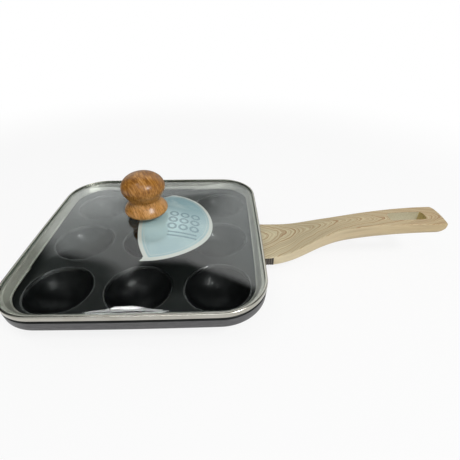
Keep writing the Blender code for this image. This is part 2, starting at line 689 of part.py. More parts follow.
def build_lid_shell(steel, glass, parent):
    """Build the steel rim and the domed glass that it holds."""
    add_object("lid_rim", loft(outline_loops(rim_profile()), closed=True), steel, parent)
    top = glass_surface(GLASS_THICKNESS)
    bottom = glass_surface(0.0)
    loops = top + list(reversed(bottom))
    add_object("lid_glass", loft(loops, closed=True), glass, parent)


def knob_profile():
    """Return the knob's outside from its foot to its crown.

    The base bulges out over a quarter wave, falls in to the neck over a cosine, swells again
    to the ball and closes as a quarter ellipse.
    """
    widest = KNOB_FOOT + KNOB_BASE_HEIGHT
    neck = KNOB_FOOT + KNOB_NECK_HEIGHT
    ball = KNOB_FOOT + KNOB_BALL_HEIGHT
    profile = []
    for step in range(KNOB_BASE_STEPS):
        turn = math.pi / 2 * step / KNOB_BASE_STEPS
        radius = KNOB_FOOT_RADIUS + (KNOB_BASE_RADIUS - KNOB_FOOT_RADIUS) * math.sin(turn)
        profile.append((radius, widest - KNOB_BASE_HEIGHT * math.cos(turn)))
    for step in range(KNOB_STEPS):
        share = step / KNOB_STEPS
        radius = KNOB_BASE_RADIUS + (KNOB_NECK_RADIUS - KNOB_BASE_RADIUS) * ease(share)
        profile.append((radius, widest + (neck - widest) * share))
    for step in range(KNOB_STEPS):
        share = step / KNOB_STEPS
        swell = math.sin(math.pi / 2 * share) ** KNOB_SWELL_POWER
        radius = KNOB_NECK_RADIUS + (KNOB_BALL_RADIUS - KNOB_NECK_RADIUS) * swell
        profile.append((radius, neck + (ball - neck) * share))
    for step in range(KNOB_STEPS):
        turn = math.pi / 2 * step / KNOB_STEPS
        profile.append((KNOB_BALL_RADIUS * math.cos(turn), ball + KNOB_BALL_RISE * math.sin(turn)))
    profile.append((KNOB_CROWN_RADIUS, ball + KNOB_BALL_RISE))
    return profile


def build_knob(wood, brass, parent):
    """Build the turned knob with its blind bore and the brass insert in it."""
    knob = add_object("knob", turn_profile(knob_profile(), KNOB_SEGMENTS), wood, parent)
    start = KNOB_FOOT + INSERT_DEPTH
    bore_top = start + INSERT_LENGTH + INSERT_END_ROOM
    bore = vertical_cylinder(INSERT_RADIUS + SEAT_GAP, KNOB_FOOT - INSERT_LENGTH, bore_top, (0, 0))
    bore_tool = add_object("knob_bore", bore, None, parent)
    add_boolean(knob, bore_tool, "DIFFERENCE")
    end = start + INSERT_LENGTH
    hole = KNOB_SCREW_RADIUS + SEAT_GAP
    ring = [(INSERT_RADIUS, start), (INSERT_RADIUS, end), (hole, end), (hole, start)]
    add_object("knob_insert", turn_profile(ring, WASHER_SEGMENTS, closed=True), brass, parent)


def build_knob_clamp(steel, rubber, parent):
    """Build the gaskets, the washer and the screw that clamp the knob to the glass."""
    hole = KNOB_SCREW_RADIUS + SEAT_GAP
    rings = (
        ("knob_gasket", UPPER_GASKET_RADIUS, GLASS_TOP + SEAT_GAP, GASKET_THICKNESS, rubber),
        ("glass_gasket", LOWER_GASKET_RADIUS, LOWER_GASKET_TOP - GASKET_THICKNESS,
         GASKET_THICKNESS, rubber),
        ("knob_washer", KNOB_WASHER_RADIUS, KNOB_WASHER_TOP - KNOB_WASHER_THICKNESS,
         KNOB_WASHER_THICKNESS, steel),
    )
    for name, radius, bottom, thickness, material in rings:
        ring = [(radius, bottom), (radius, bottom + thickness)]
        ring += [(hole, bottom + thickness), (hole, bottom)]
        add_object(name, turn_profile(ring, WASHER_SEGMENTS, closed=True), material, parent)
    tip = KNOB_FOOT + INSERT_DEPTH + INSERT_LENGTH - SEAT_GAP
    profile = screw_profile(KNOB_SCREW_SEAT, KNOB_SCREW_RADIUS, KNOB_SCREW_HEAD_RADIUS,
                            KNOB_SCREW_HEAD_HEIGHT, tip)
    screw = add_object("knob_screw", turn_profile(profile, SCREW_SEGMENTS), steel, parent)
    bottom = KNOB_SCREW_SEAT - KNOB_SCREW_HEAD_HEIGHT
    recess = cross_recess("knob_screw_recess", KNOB_SCREW_HEAD_RADIUS, bottom, (0, 0))
    recess.parent = parent
    add_boolean(screw, recess, "DIFFERENCE")


def card_ring(share, drop):
    """Return one ring of the card, from the washer's edge (share 0) to the card's edge (1).

    The ring falls and its centre moves along X as the share grows.
    """
    radius = KNOB_WASHER_RADIUS + (CARD_RADIUS - KNOB_WASHER_RADIUS) * share
    height = CARD_TOP - CARD_SAG * share ** CARD_SAG_POWER - drop
    return ring_points(radius, height, CARD_SEGMENTS, (CARD_CENTRE_X * share, 0.0))


def build_card(paper, parent):
    """Build the round card, sagging from the screw, with one side cut straight."""
    hole = KNOB_SCREW_RADIUS + SEAT_GAP
    shares = [step / CARD_RINGS for step in range(CARD_RINGS + 1)]
    top = [ring_points(hole, CARD_TOP, CARD_SEGMENTS)]
    top += [card_ring(share, 0.0) for share in shares]
    bottom = [card_ring(share, CARD_THICKNESS) for share in reversed(shares)]
    bottom.append(ring_points(hole, CARD_TOP - CARD_THICKNESS, CARD_SEGMENTS))
    card = add_object("care_card", loft(top + bottom, closed=True), paper, parent)

    away = Vector((math.cos(CARD_CUT_ANGLE), math.sin(CARD_CUT_ANGLE), 0.0))
    reach = 2 * CARD_RADIUS
    span = Vector((-away.y, away.x, 0.0)) * reach
    low = Vector((0.0, 0.0, CARD_TOP - 2 * CARD_SAG))
    near = away * CARD_CUT + low
    far = away * reach + low
    corners = [near - span, near + span, far + span, far - span]
    cutter = add_object("card_cut", prism(corners, (0, 0, 3 * CARD_SAG)), None, parent)
    add_boolean(card, cutter, "DIFFERENCE")


def build_all():
    """Build every piece of the pan and its lid."""
    clear_scene()
    coating = make_material("nonstick_coating", (0.035, 0.036, 0.038), 0.42)
    guard_steel = make_material("dark_steel", (0.055, 0.052, 0.050), 0.45, metallic=1.0)
    grip_wood = make_material("pale_wood_finish", (0.62, 0.50, 0.34), 0.45)
    steel = make_material("stainless_steel", (0.62, 0.61, 0.58), 0.25, metallic=1.0)
    glass = make_material("tempered_glass", (0.90, 0.95, 0.93), 0.02, transmission=1.0)
    knob_wood = make_material("varnished_wood", (0.50, 0.22, 0.06), 0.25)
    brass = make_material("brass", (0.72, 0.52, 0.22), 0.30, metallic=1.0)
    rubber = make_material("grey_silicone", (0.09, 0.09, 0.09), 0.60)
    paper = make_material("pale_blue_card", (0.42, 0.60, 0.68), 0.70)

    lid_axis = bpy.data.objects.new("lid_lift_axis", None)
    lid_axis.empty_display_size = LID_SIDE / 2
    bpy.context.scene.collection.objects.link(lid_axis)

    build_pan_body(coating)
    build_flame_guard(guard_steel)
    build_grip(grip_wood)
    build_handle_fasteners(steel, steel)
    build_lid_shell(steel, glass, lid_axis)
    build_knob(knob_wood, brass, lid_axis)
    build_knob_clamp(steel, rubber, lid_axis)
    build_card(paper, lid_axis)


build_all()
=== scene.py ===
"""The looks of the square paniyaram pan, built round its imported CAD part.

Metres, +Z up, the pan stands on Z = 0, its handle runs along +X and +Y is the back.
Each sub-assembly is a class that holds its sizes, builds its pieces from grids of points and
dresses them. Every piece replaces the CAD node that it stands for.
"""
import logging
import math
from dataclasses import dataclass, field
from enum import Enum

import bmesh
import bpy
import numpy as np
from mathutils import Matrix, Vector
from mathutils.geometry import delaunay_2d_cdt


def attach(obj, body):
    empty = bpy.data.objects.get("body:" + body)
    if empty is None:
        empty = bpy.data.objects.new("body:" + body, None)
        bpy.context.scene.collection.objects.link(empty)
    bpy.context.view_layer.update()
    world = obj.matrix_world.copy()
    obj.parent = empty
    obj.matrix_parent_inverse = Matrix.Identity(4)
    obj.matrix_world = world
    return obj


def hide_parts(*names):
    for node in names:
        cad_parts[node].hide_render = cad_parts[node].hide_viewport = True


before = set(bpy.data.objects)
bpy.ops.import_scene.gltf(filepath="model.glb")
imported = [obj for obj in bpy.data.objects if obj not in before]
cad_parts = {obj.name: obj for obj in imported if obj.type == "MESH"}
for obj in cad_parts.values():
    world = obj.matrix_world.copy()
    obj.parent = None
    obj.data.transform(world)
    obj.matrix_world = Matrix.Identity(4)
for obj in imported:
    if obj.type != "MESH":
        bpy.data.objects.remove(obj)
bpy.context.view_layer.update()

MM = 0.001
SAME_POINT = 1e-7
log = logging.getLogger("paniyaram_pan")

Piece = bpy.types.Object
Pair = tuple[float, float]
Triple = tuple[float, float, float]
Colour = Triple
BLACK: Colour = (0.0, 0.0, 0.0)


class Body(Enum):
    """The two bodies of the record that the pieces ride on."""

    PAN = "pan"
    LID = "lid"


class Slot(Enum):
    """The material slots of the record."""

    NONSTICK = "nonstick_coating"
    DARK_STEEL = "dark_steel"
    PALE_WOOD = "pale_wood_finish"
    STAINLESS = "stainless_steel"
    GLASS = "tempered_glass"
    VARNISHED_WOOD = "varnished_wood"
    BRASS = "brass"
    SILICONE = "grey_silicone"
    CARD = "pale_blue_card"


class Ray(Enum):
    """The kinds of light ray that a shader can tell apart."""

    CAMERA = "Is Camera Ray"
    GLOSS = "Is Glossy Ray"
    THROUGH = "Is Transmission Ray"
    SCATTERED = "Is Diffuse Ray"
    SHADOW = "Is Shadow Ray"


# Points and profiles


def arc(centre: Pair, radius: float, start: float, end: float, steps: int) -> np.ndarray:
    """Return points on a circle between two angles in degrees, both ends included.

    Args:
        centre: Middle of the circle.
        radius: Radius of the circle.
        start: First angle.
        end: Last angle.
        steps: Number of chords.

    Returns:
        An array of steps + 1 points: centre + radius * (cos angle, sin angle).
    """
    angle = np.radians(np.linspace(start, end, steps + 1))
    return np.stack([centre[0] + radius * np.cos(angle), centre[1] + radius * np.sin(angle)], axis=-1)


def span(start: Pair, end: Pair, steps: int) -> np.ndarray:
    """Return evenly spaced points on a straight line, both ends included.

    Args:
        start: First point.
        end: Last point.
        steps: Number of stretches.

    Returns:
        An array of steps + 1 points.
    """
    share = np.linspace(0.0, 1.0, steps + 1)[:, None]
    return np.asarray(start) * (1 - share) + np.asarray(end) * share


def join(*stretches: np.ndarray) -> np.ndarray:
    """Return the stretches of a profile one after another, with no point twice in a row.

    Args:
        *stretches: Arrays of points in the plane.

    Returns:
        One array of points.
    """
    points = np.concatenate([np.atleast_2d(stretch) for stretch in stretches])
    step = np.linalg.norm(np.diff(points, axis=0), axis=1)
    return points[np.concatenate([[True], step > SAME_POINT])]


def ease(value: np.ndarray) -> np.ndarray:
    """Return half a cosine wave from 0 to 1 with level ends, held flat outside 0 to 1."""
    return (1 - np.cos(np.pi * np.clip(value, 0.0, 1.0))) / 2


def share_between(value: np.ndarray, start: float, end: float) -> np.ndarray:
    """Return 0 where a value is at its start, 1 where it is at its end, and in proportion elsewhere."""
    return (value - start) / (end - start)


def turned(profile: np.ndarray, segments: int, centre: Pair = (0.0, 0.0)) -> np.ndarray:
    """Turn a profile round an upright axis.

    Args:
        profile: Points of radius and height.
        segments: Number of points round the axis.
        centre: Where the axis stands.

    Returns:
        A grid of rows by segments by 3: (centre + radius * (cos, sin) of the angle, height).
    """
    angle = np.linspace(0.0, 2 * np.pi, segments, endpoint=False)
    radius, height = profile[:, 0, None], profile[:, 1, None]
    x = centre[0] + radius * np.cos(angle)
    y = centre[1] + radius * np.sin(angle)
    return np.stack([x, y, np.broadcast_to(height, x.shape)], axis=-1)


def circle_loop(radius: float, segments: int, centre: Pair) -> np.ndarray:
    """Return evenly spaced points round a circle in the plane."""
    return turned(np.array([[radius, 0.0]]), segments, centre)[0, :, :2]


def ring_section(hole: float, radius: float, low: float, high: float, soft: float) -> np.ndarray:
    """Return the closed section of a flat ring whose two outer edges are cut off at 45 degrees."""
    return np.array([(hole, low), (radius - soft, low), (radius, low + soft),
                     (radius, high - soft), (radius - soft, high), (hole, high)])


def at_heights(plan: np.ndarray, heights: np.ndarray) -> np.ndarray:
    """Give each row of a plan, which is rows by points by 2, a height of its own."""
    column = np.broadcast_to(heights[:, None, None], plan.shape[:2] + (1,))
    return np.concatenate([plan, column], axis=-1)


def stand_across(loop: np.ndarray, x: float, middle: float = 0.0) -> np.ndarray:
    """Stand a loop of Y and Z upright at a place along X, its heights counted from a middle."""
    return np.column_stack([np.full(len(loop), x), loop[:, 0], loop[:, 1] + middle])


def rounded_rectangle(half_width: float, half_height: float, radius: float, steps: int,
                      straight: int) -> np.ndarray:
    """Return a rectangle with round corners, four arcs joined by straight stretches.

    Args:
        half_width: Half of its first side.
        half_height: Half of its second side.
        radius: Radius of its corners.
        steps: Chords in each corner.
        straight: Stretches in each straight side.

    Returns:
        A closed loop of points without its first point repeated.
    """
    across, along = half_width - radius, half_height - radius
    middles = ((across, along), (-across, along), (-across, -along), (across, -along))
    corners = [arc(middle, radius, 90.0 * index, 90.0 * index + 90.0, steps)
               for index, middle in enumerate(middles)]
    stretches: list[np.ndarray] = []
    for index, corner in enumerate(corners):
        following = corners[(index + 1) % 4]
        stretches.append(corner)
        stretches.append(span(tuple(corner[-1]), tuple(following[0]), straight)[1:-1])
    return np.concatenate(stretches)


def touching(level: float, radius: float, centre: float, sphere: float) -> tuple[Pair, float]:
    """Place an arc that lies under a level line and touches it and a sphere from outside.

    Args:
        level: Height of the line.
        radius: Radius of the arc.
        centre: Height of the sphere's centre, on the axis.
        sphere: Radius of the sphere.

    Returns:
        The arc's middle, and how many degrees it lies below the sphere's centre.
    """
    height = level - radius
    reach = math.sqrt((sphere + radius) ** 2 - (centre - height) ** 2)
    return (reach, height), math.degrees(math.atan2(centre - height, reach))


@dataclass(frozen=True)
class Outline:
    """The square with round corners and slightly bowed sides that the pan and the lid share."""

    side: float = 228.0 * MM
    corner_radius: float = 41.0 * MM
    bow_radius: float = 4400.0 * MM
    side_steps: int = 22
    corner_steps: int = 30

    def loop(self, inset: float) -> np.ndarray:
        """Return the outline moved inward by an even inset.

        A quarter is a side arc about (-shift, 0) and a corner arc about (corner, corner) that meet
        at a common tangent. An inset keeps both centres and shortens both radii. The quarter is
        then turned by 0, 90, 180 and 270 degrees.

        Args:
            inset: How far inside the lid's outer edge.

        Returns:
            An array of points in the plane.
        """
        shift = self.bow_radius - self.side / 2
        reach = self.bow_radius - self.corner_radius
        corner = (math.sqrt(2 * reach * reach - shift * shift) - shift) / 2
        turn = math.degrees(math.atan2(corner, corner + shift))
        side = arc((-shift, 0.0), self.bow_radius - inset, -turn, turn, self.side_steps)
        bend = arc((corner, corner), self.corner_radius - inset, turn, 90 - turn, self.corner_steps)
        quarter = np.concatenate([side[:-1], bend[:-1]])
        turns = [np.array([[0, 1], [-1, 0]]), np.array([[-1, 0], [0, -1]]), np.array([[0, -1], [1, 0]])]
        return np.concatenate([quarter] + [quarter @ spin for spin in turns])

    def inset(self, places: np.ndarray) -> np.ndarray:
        """Return how far inside the outer edge each place lies, its sides taken as straight."""
        beyond = np.maximum(np.abs(places[:, :2]) - (self.side / 2 - self.corner_radius), 0.0)
        return self.corner_radius - np.linalg.norm(beyond, axis=1)

    def sweep(self, profile: np.ndarray) -> np.ndarray:
        """Carry a profile round the outline.

        Args:
            profile: Points of inset and height.

        Returns:
            A grid of rows by points by 3: each row is the outline at the row's inset and height.
        """
        plan = np.stack([self.loop(inset) for inset in profile[:, 0]])
        return at_heights(plan, profile[:, 1])


# Meshes


class Shell:
    """Points and faces of a piece, gathered before they become a mesh."""

    WELD = 2e-7
    SNAP = 1e-9

    def __init__(self) -> None:
        """Start with no points."""
        self.points: list[np.ndarray] = []
        self.faces: list[np.ndarray] = []
        self.count = 0

    def add_points(self, points: np.ndarray) -> np.ndarray:
        """Keep points and return their numbers in the same layout.

        Args:
            points: An array that ends in an axis of 3.

        Returns:
            An array of numbers, one per point.
        """
        flat = points.reshape(-1, 3)
        numbers = np.arange(len(flat)) + self.count
        self.points.append(flat)
        self.count += len(flat)
        return numbers.reshape(points.shape[:-1])

    def add_grid(self, grid: np.ndarray, close_rows: bool = False) -> None:
        """Join neighbouring rows of a grid with quads, each row a closed loop.

        Args:
            grid: Rows by columns by 3.
            close_rows: Whether the last row also joins the first.
        """
        numbers = self.add_points(grid)
        rows = np.vstack([numbers, numbers[:1]]) if close_rows else numbers
        wide = np.hstack([rows, rows[:, :1]])
        corners = [wide[:-1, :-1], wide[:-1, 1:], wide[1:, 1:], wide[1:, :-1]]
        self.faces.append(np.stack(corners, axis=-1).reshape(-1, 4))

    def add_fan(self, ring: np.ndarray, middle: np.ndarray) -> None:
        """Close a loop of points with triangles to a point in its middle.

        Args:
            ring: The loop, points by 3.
            middle: The point.
        """
        around = self.add_points(ring)
        centre = self.add_points(middle.reshape(1, 3))
        following = np.roll(around, -1)
        self.faces.append(np.stack([around, following, np.full_like(around, centre[0])], axis=-1))

    def add_capped(self, grid: np.ndarray, first: np.ndarray | None = None,
                   last: np.ndarray | None = None) -> None:
        """Join the rows of a grid and close its first and last row with fans.

        Args:
            grid: Rows by columns by 3.
            first: Middle of the first row's fan; the row's own middle where it isn't given.
            last: Middle of the last row's fan, likewise.
        """
        self.add_grid(grid)
        self.add_fan(grid[0], grid[0].mean(axis=0) if first is None else first)
        self.add_fan(grid[-1], grid[-1].mean(axis=0) if last is None else last)

    def add_bar(self, stations: np.ndarray, half_width: np.ndarray | float,
                middle: np.ndarray | float, half_height: np.ndarray | float, radius: float) -> None:
        """Add a closed bar along X, its section a rounded rectangle that changes from end to end.

        Each section comes from one square whose half side is 1 and whose corners have radius 0.5:
        its corners' middles move to the size less the radius, and its arcs take the radius.

        Args:
            stations: Places along X.
            half_width: Half widths there.
            middle: Middle heights there.
            half_height: Half heights there.
            radius: Radius of the section's corners.
        """
        loop = rounded_rectangle(1.0, 1.0, 0.5, 5, 3)
        core = np.sign(loop) * 0.5
        rows = []
        for x, wide, high, z in zip(*np.broadcast_arrays(stations, half_width, half_height, middle)):
            section = np.sign(loop) * (np.array([wide, high]) - radius) + (loop - core) * 2 * radius
            rows.append(stand_across(section, x, z))
        self.add_capped(np.stack(rows))

    def add_plate(self, outer: np.ndarray, holes: list[tuple[Pair, float]], height: float,
                  segments: int) -> None:
        """Fill a flat plate with round holes, as a triangulation that keeps every edge point.

        A triangle whose middle lies nearer to a hole's centre than the hole's own edge chords is
        in the hole, and is left out.

        Args:
            outer: The plate's outer loop in the plane.
            holes: Centre and radius of each hole.
            height: Height of the plate.
            segments: Points round each hole.
        """
        loops = [outer] + [circle_loop(radius, segments, centre) for centre, radius in holes]
        starts = np.cumsum([0] + [len(loop) for loop in loops])
        edges: list[tuple[int, int]] = []
        for start, loop in zip(starts, loops):
            first = np.arange(len(loop)) + start
            edges += np.stack([first, np.roll(first, -1)], axis=-1).tolist()
        corners = [Vector(point) for point in np.concatenate(loops).tolist()]
        made = delaunay_2d_cdt(corners, edges, [], 0, self.SNAP)
        points = np.array([tuple(point) for point in made[0]])
        triangles = np.array(made[2])
        middles = points[triangles].mean(axis=1)
        keep = np.ones(len(triangles), dtype=bool)
        inside = math.cos(math.pi / segments) ** 2
        for centre, radius in holes:
            keep &= np.linalg.norm(middles - np.asarray(centre), axis=1) > radius * inside
        flat = np.concatenate([points, np.full((len(points), 1), height)], axis=-1)
        self.faces.append(self.add_points(flat)[triangles[keep]])

    def build(self, name: str, sharp: float) -> Piece:
        """Weld the points and turn them into an object with outward faces.

        Args:
            name: Name of the object.
            sharp: Angle in degrees above which an edge is shaded sharp.

        Returns:
            The object, at the origin.
        """
        points = np.concatenate(self.points)
        keys = np.round(points / self.WELD).astype(np.int64)
        _, first, inverse = np.unique(keys, axis=0, return_index=True, return_inverse=True)
        welded = inverse.reshape(-1)
        faces = [face for block in self.faces for face in welded[block].tolist()]
        mesh = bpy.data.meshes.new(name)
        mesh.from_pydata(points[first].tolist(), [], faces)
        work = bmesh.new()
        work.from_mesh(mesh)
        bmesh.ops.recalc_face_normals(work, faces=work.faces)
        work.to_mesh(mesh)
        work.free()
        piece = bpy.data.objects.new(name, mesh)
        bpy.context.scene.collection.objects.link(piece)
        shade(piece, sharp)
        return piece


def ring_piece(name: str, grid: np.ndarray, sharp: float) -> Piece:
    """Build a piece from rows of closed loops, the last of which joins the first.

    Args:
        name: Name of the object.
        grid: Rows by columns by 3.
        sharp: Angle in degrees above which an edge is shaded sharp.

    Returns:
        The object.
    """
    shell = Shell()
    shell.add_grid(grid, close_rows=True)
    return shell.build(name, sharp)


def capped_piece(name: str, grid: np.ndarray, sharp: float, *middles: np.ndarray) -> Piece:
    """Build a piece from rows of closed loops, the first and the last closed by fans.

    Args:
        name: Name of the object.
        grid: Rows by columns by 3.
        sharp: Angle in degrees above which an edge is shaded sharp.
        *middles: Middles of the two fans; the rows' own middles where they aren't given.

    Returns:
        The object.
    """
    shell = Shell()
    shell.add_capped(grid, *middles)
    return shell.build(name, sharp)


def prism(name: str, loop: np.ndarray, low: float, high: float) -> Piece:
    """Build an upright closed prism of a loop in the plane, between two heights."""
    return capped_piece(name, at_heights(np.stack([loop, loop]), np.array([low, high])), 32.0)


def shade(piece: Piece, sharp: float) -> None:
    """Shade a piece smooth, with edges sharp above an angle in degrees."""
    piece.data.shade_smooth()
    piece.data.set_sharp_from_angle(angle=math.radians(sharp))


def cut(piece: Piece, tools: list[Piece], sharp: float) -> None:
    """Cut tools out of a piece, and keep the result as its mesh.

    Args:
        piece: The piece that is cut.
        tools: Closed objects, which are removed afterwards.
        sharp: Angle in degrees above which an edge is shaded sharp.
    """
    for tool in tools:
        modifier = piece.modifiers.new(tool.name, "BOOLEAN")
        modifier.object = tool
        modifier.solver = "EXACT"
    depsgraph = bpy.context.evaluated_depsgraph_get()
    mesh = bpy.data.meshes.new_from_object(piece.evaluated_get(depsgraph))
    piece.modifiers.clear()
    mesh.materials.clear()
    piece.data = mesh
    for tool in tools:
        bpy.data.objects.remove(tool, do_unlink=True)
    shade(piece, sharp)


def vectors(items: bpy.types.bpy_prop_collection, name: str) -> np.ndarray:
    """Read one vector of each vertex or face.

    Args:
        items: The mesh's vertices or faces.
        name: Name of the vector.

    Returns:
        Items by 3.
    """
    flat = np.empty(len(items) * 3)
    items.foreach_get(name, flat)
    return flat.reshape(-1, 3)


def vertex_places(piece: Piece) -> np.ndarray:
    """Return the places of a piece's vertices."""
    return vectors(piece.data.vertices, "co")


def face_values(piece: Piece, name: str) -> np.ndarray:
    """Return a vector of each face, such as its normal or its centre."""
    return vectors(piece.data.polygons, name)


def lay_map(piece: Piece, name: str, places: np.ndarray) -> None:
    """Give a piece a UV map from one pair of numbers per vertex.

    Args:
        piece: The piece.
        name: Name of the map.
        places: Vertices by 2.
    """
    layer = piece.data.uv_layers.new(name=name)
    corners = np.empty(len(piece.data.loops), dtype=np.int32)
    piece.data.loops.foreach_get("vertex_index", corners)
    layer.data.foreach_set("uv", places[corners].astype(np.float32).ravel())


def lay_mask(piece: Piece, name: str, values: np.ndarray) -> None:
    """Give a piece an attribute of one number per vertex."""
    attribute = piece.data.attributes.new(name, "FLOAT", "POINT")
    attribute.data.foreach_set("value", values.astype(np.float32))


def place(piece: Piece, body: Body, slot: Slot, materials: list[bpy.types.Material],
          face_material: np.ndarray | None = None) -> None:
    """Dress a finished piece and let it stand for the CAD node of its name.

    Args:
        piece: The piece, named after its node with "look_" in front.
        body: The body that it rides on.
        slot: The record's slot for its finish; not used.
        materials: Its materials.
        face_material: Which of them each face takes; the first where it isn't given.
    """
    node = piece.name.removeprefix("look_")
    for material in materials:
        piece.data.materials.append(material)
    if face_material is not None:
        piece.data.polygons.foreach_set("material_index", face_material.astype(np.int32))
    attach(piece, body.value)
    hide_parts(node)
    log.info("%s: %d faces, rides on %s", piece.name, len(piece.data.polygons), body.value)


# Shader arithmetic


class Signal:
    """A node's output that Python's arithmetic works on, each step as a Math node."""

    def __init__(self, graph: "Graph", socket: bpy.types.NodeSocket) -> None:
        """Wrap one output socket of a graph."""
        self.graph = graph
        self.socket = socket

    def __add__(self, other: "Signal | float") -> "Signal":
        """Return self + other."""
        return self.graph.math("ADD", self, other)

    def __radd__(self, other: float) -> "Signal":
        """Return other + self."""
        return self.graph.math("ADD", other, self)

    def __sub__(self, other: "Signal | float") -> "Signal":
        """Return self - other."""
        return self.graph.math("SUBTRACT", self, other)

    def __rsub__(self, other: float) -> "Signal":
        """Return other - self."""
        return self.graph.math("SUBTRACT", other, self)

    def __mul__(self, other: "Signal | float") -> "Signal":
        """Return self * other."""
        return self.graph.math("MULTIPLY", self, other)

    def __rmul__(self, other: float) -> "Signal":
        """Return other * self."""
        return self.graph.math("MULTIPLY", other, self)

    def __truediv__(self, other: "Signal | float") -> "Signal":
        """Return self / other."""
        return self.graph.math("DIVIDE", self, other)

    def __neg__(self) -> "Signal":
        """Return self with the other sign."""
        return self.graph.math("MULTIPLY", -1.0, self)

    def __abs__(self) -> "Signal":
        """Return the size of self without its sign."""
        return self.graph.math("ABSOLUTE", self)


Feed = Signal | float | tuple[float, ...]


class Graph:
    """The node tree of a material or world, with one method that makes any node."""

    def __init__(self, tree: bpy.types.NodeTree) -> None:
        """Take a tree and empty it."""
        self.tree = tree
        tree.nodes.clear()

    def node(self, kind: str, settings: dict[str, object] | None = None,
             sockets: dict[str | int, Feed] | None = None, output: str | int = 0) -> Signal:
        """Make a node.

        Args:
            kind: The node's type.
            settings: Its own settings; "stops" sets a colour ramp's stops.
            sockets: Values or links of its inputs, by name or number; a colour is three numbers.
            output: The output that is returned.

        Returns:
            The chosen output, or the first input of a node that has no output.
        """
        made = self.tree.nodes.new(kind)
        for key, value in (settings or {}).items():
            if key == "stops":
                self.set_stops(made.color_ramp, value)
            else:
                setattr(made, key, value)
        for key, value in (sockets or {}).items():
            if isinstance(value, Signal):
                self.tree.links.new(value.socket, made.inputs[key])
            else:
                socket = made.inputs[key]
                socket.default_value = (*value, 1.0) if socket.type == "RGBA" else value
        return Signal(self, made.outputs[output] if made.outputs else made.inputs[0])

    @staticmethod
    def set_stops(ramp: bpy.types.ColorRamp, stops: list[tuple[float, Colour]]) -> None:
        """Set the stops of a colour ramp.

        Args:
            ramp: The ramp.
            stops: Pairs of place and colour.
        """
        while len(ramp.elements) > 1:
            ramp.elements.remove(ramp.elements[-1])
        ramp.elements[0].position = stops[0][0]
        ramp.elements[0].color = (*stops[0][1], 1.0)
        for position, colour in stops[1:]:
            ramp.elements.new(position).color = (*colour, 1.0)

    def math(self, operation: str, first: Signal | float, second: Signal | float = 0.0) -> Signal:
        """Return the result of a Math node."""
        return self.node("ShaderNodeMath", {"operation": operation}, {0: first, 1: second})

    def vector_math(self, operation: str, first: Feed, second: Feed = (0.0, 0.0, 0.0)) -> Signal:
        """Return the result of a Vector Math node, its number for a length or a dot product."""
        output = "Value" if operation in ("DOT_PRODUCT", "LENGTH", "DISTANCE") else "Vector"
        return self.node("ShaderNodeVectorMath", {"operation": operation}, {0: first, 1: second}, output)

    def places(self) -> Signal:
        """Return the piece's own coordinates in metres."""
        return self.node("ShaderNodeTexCoord", output="Object")

    def map_places(self, name: str) -> Signal:
        """Return the places on one of the piece's UV maps."""
        return self.node("ShaderNodeUVMap", {"uv_map": name})

    def mask(self, name: str) -> Signal:
        """Return one of the piece's attributes."""
        return self.node("ShaderNodeAttribute", {"attribute_name": name}, output="Fac")

    def ray(self, kind: Ray) -> Signal:
        """Return 1 for a ray of one kind and 0 for any other."""
        return self.node("ShaderNodeLightPath", output=kind.value)

    def split(self, vector: Signal) -> tuple[Signal, Signal, Signal]:
        """Return the three parts of a vector."""
        made = self.node("ShaderNodeSeparateXYZ", sockets={0: vector}).socket.node
        return tuple(Signal(self, output) for output in made.outputs)

    def vector(self, x: Signal | float, y: Signal | float, z: Signal | float) -> Signal:
        """Return a vector made of three numbers."""
        return self.node("ShaderNodeCombineXYZ", sockets={0: x, 1: y, 2: z})

    def noise(self, vector: Signal, scale: float = 1.0, detail: float = 2.0, roughness: float = 0.5,
              distortion: float = 0.0) -> Signal:
        """Return Noise Texture's value, around 0.5.

        Args:
            vector: Where the noise is read.
            scale: Cells per metre.
            detail: Number of finer layers.
            roughness: Strength of the finer layers.
            distortion: How far the cells are pushed about.

        Returns:
            The noise.
        """
        return self.node("ShaderNodeTexNoise", sockets={
            "Vector": vector, "Scale": scale, "Detail": detail, "Roughness": roughness,
            "Distortion": distortion})

    def grain(self, places: Signal, scale: Triple, detail: float = 2.0,
              roughness: float = 0.5, distortion: float = 0.0) -> Signal:
        """Return noise whose cells are about 1 / scale long in each of the three directions."""
        stretched = self.vector_math("MULTIPLY", places, scale)
        return self.noise(stretched, 1.0, detail, roughness, distortion)

    def step(self, value: Signal, low: float, high: float) -> Signal:
        """Return a smooth step of a value from 0 at low to 1 at high."""
        return self.node("ShaderNodeMapRange", {"interpolation_type": "SMOOTHSTEP"},
                         {0: value, 1: low, 2: high, 3: 0.0, 4: 1.0})

    def ramp(self, value: Signal, stops: list[tuple[float, Colour]]) -> Signal:
        """Return a colour ramp's colour."""
        return self.node("ShaderNodeValToRGB", {"stops": stops}, {0: value})

    def blend(self, share: Signal | float, first: Feed, second: Feed) -> Signal:
        """Return a mix of two colours."""
        return self.node("ShaderNodeMix", {"data_type": "RGBA"}, {0: share, 6: first, 7: second}, 2)

    def bump(self, height: Signal, distance: float) -> Signal:
        """Return a normal that a height bends."""
        return self.node("ShaderNodeBump", sockets={
            "Height": height, "Distance": distance, "Strength": 1.0})

    def principled(self, sockets: dict[str | int, Feed]) -> Signal:
        """Return a Principled shader."""
        return self.node("ShaderNodeBsdfPrincipled", sockets=sockets)

    def surface(self, shader: Signal) -> None:
        """Send a shader to the material's output."""
        self.node("ShaderNodeOutputMaterial", sockets={"Surface": shader})


def new_material(name: str) -> tuple[bpy.types.Material, Graph]:
    """Return a material and its emptied graph.

    Args:
        name: Name of the material.

    Returns:
        Both of them.
    """
    material = bpy.data.materials.new(name)
    material.use_nodes = True
    return material, Graph(material.node_tree)


# Finishes


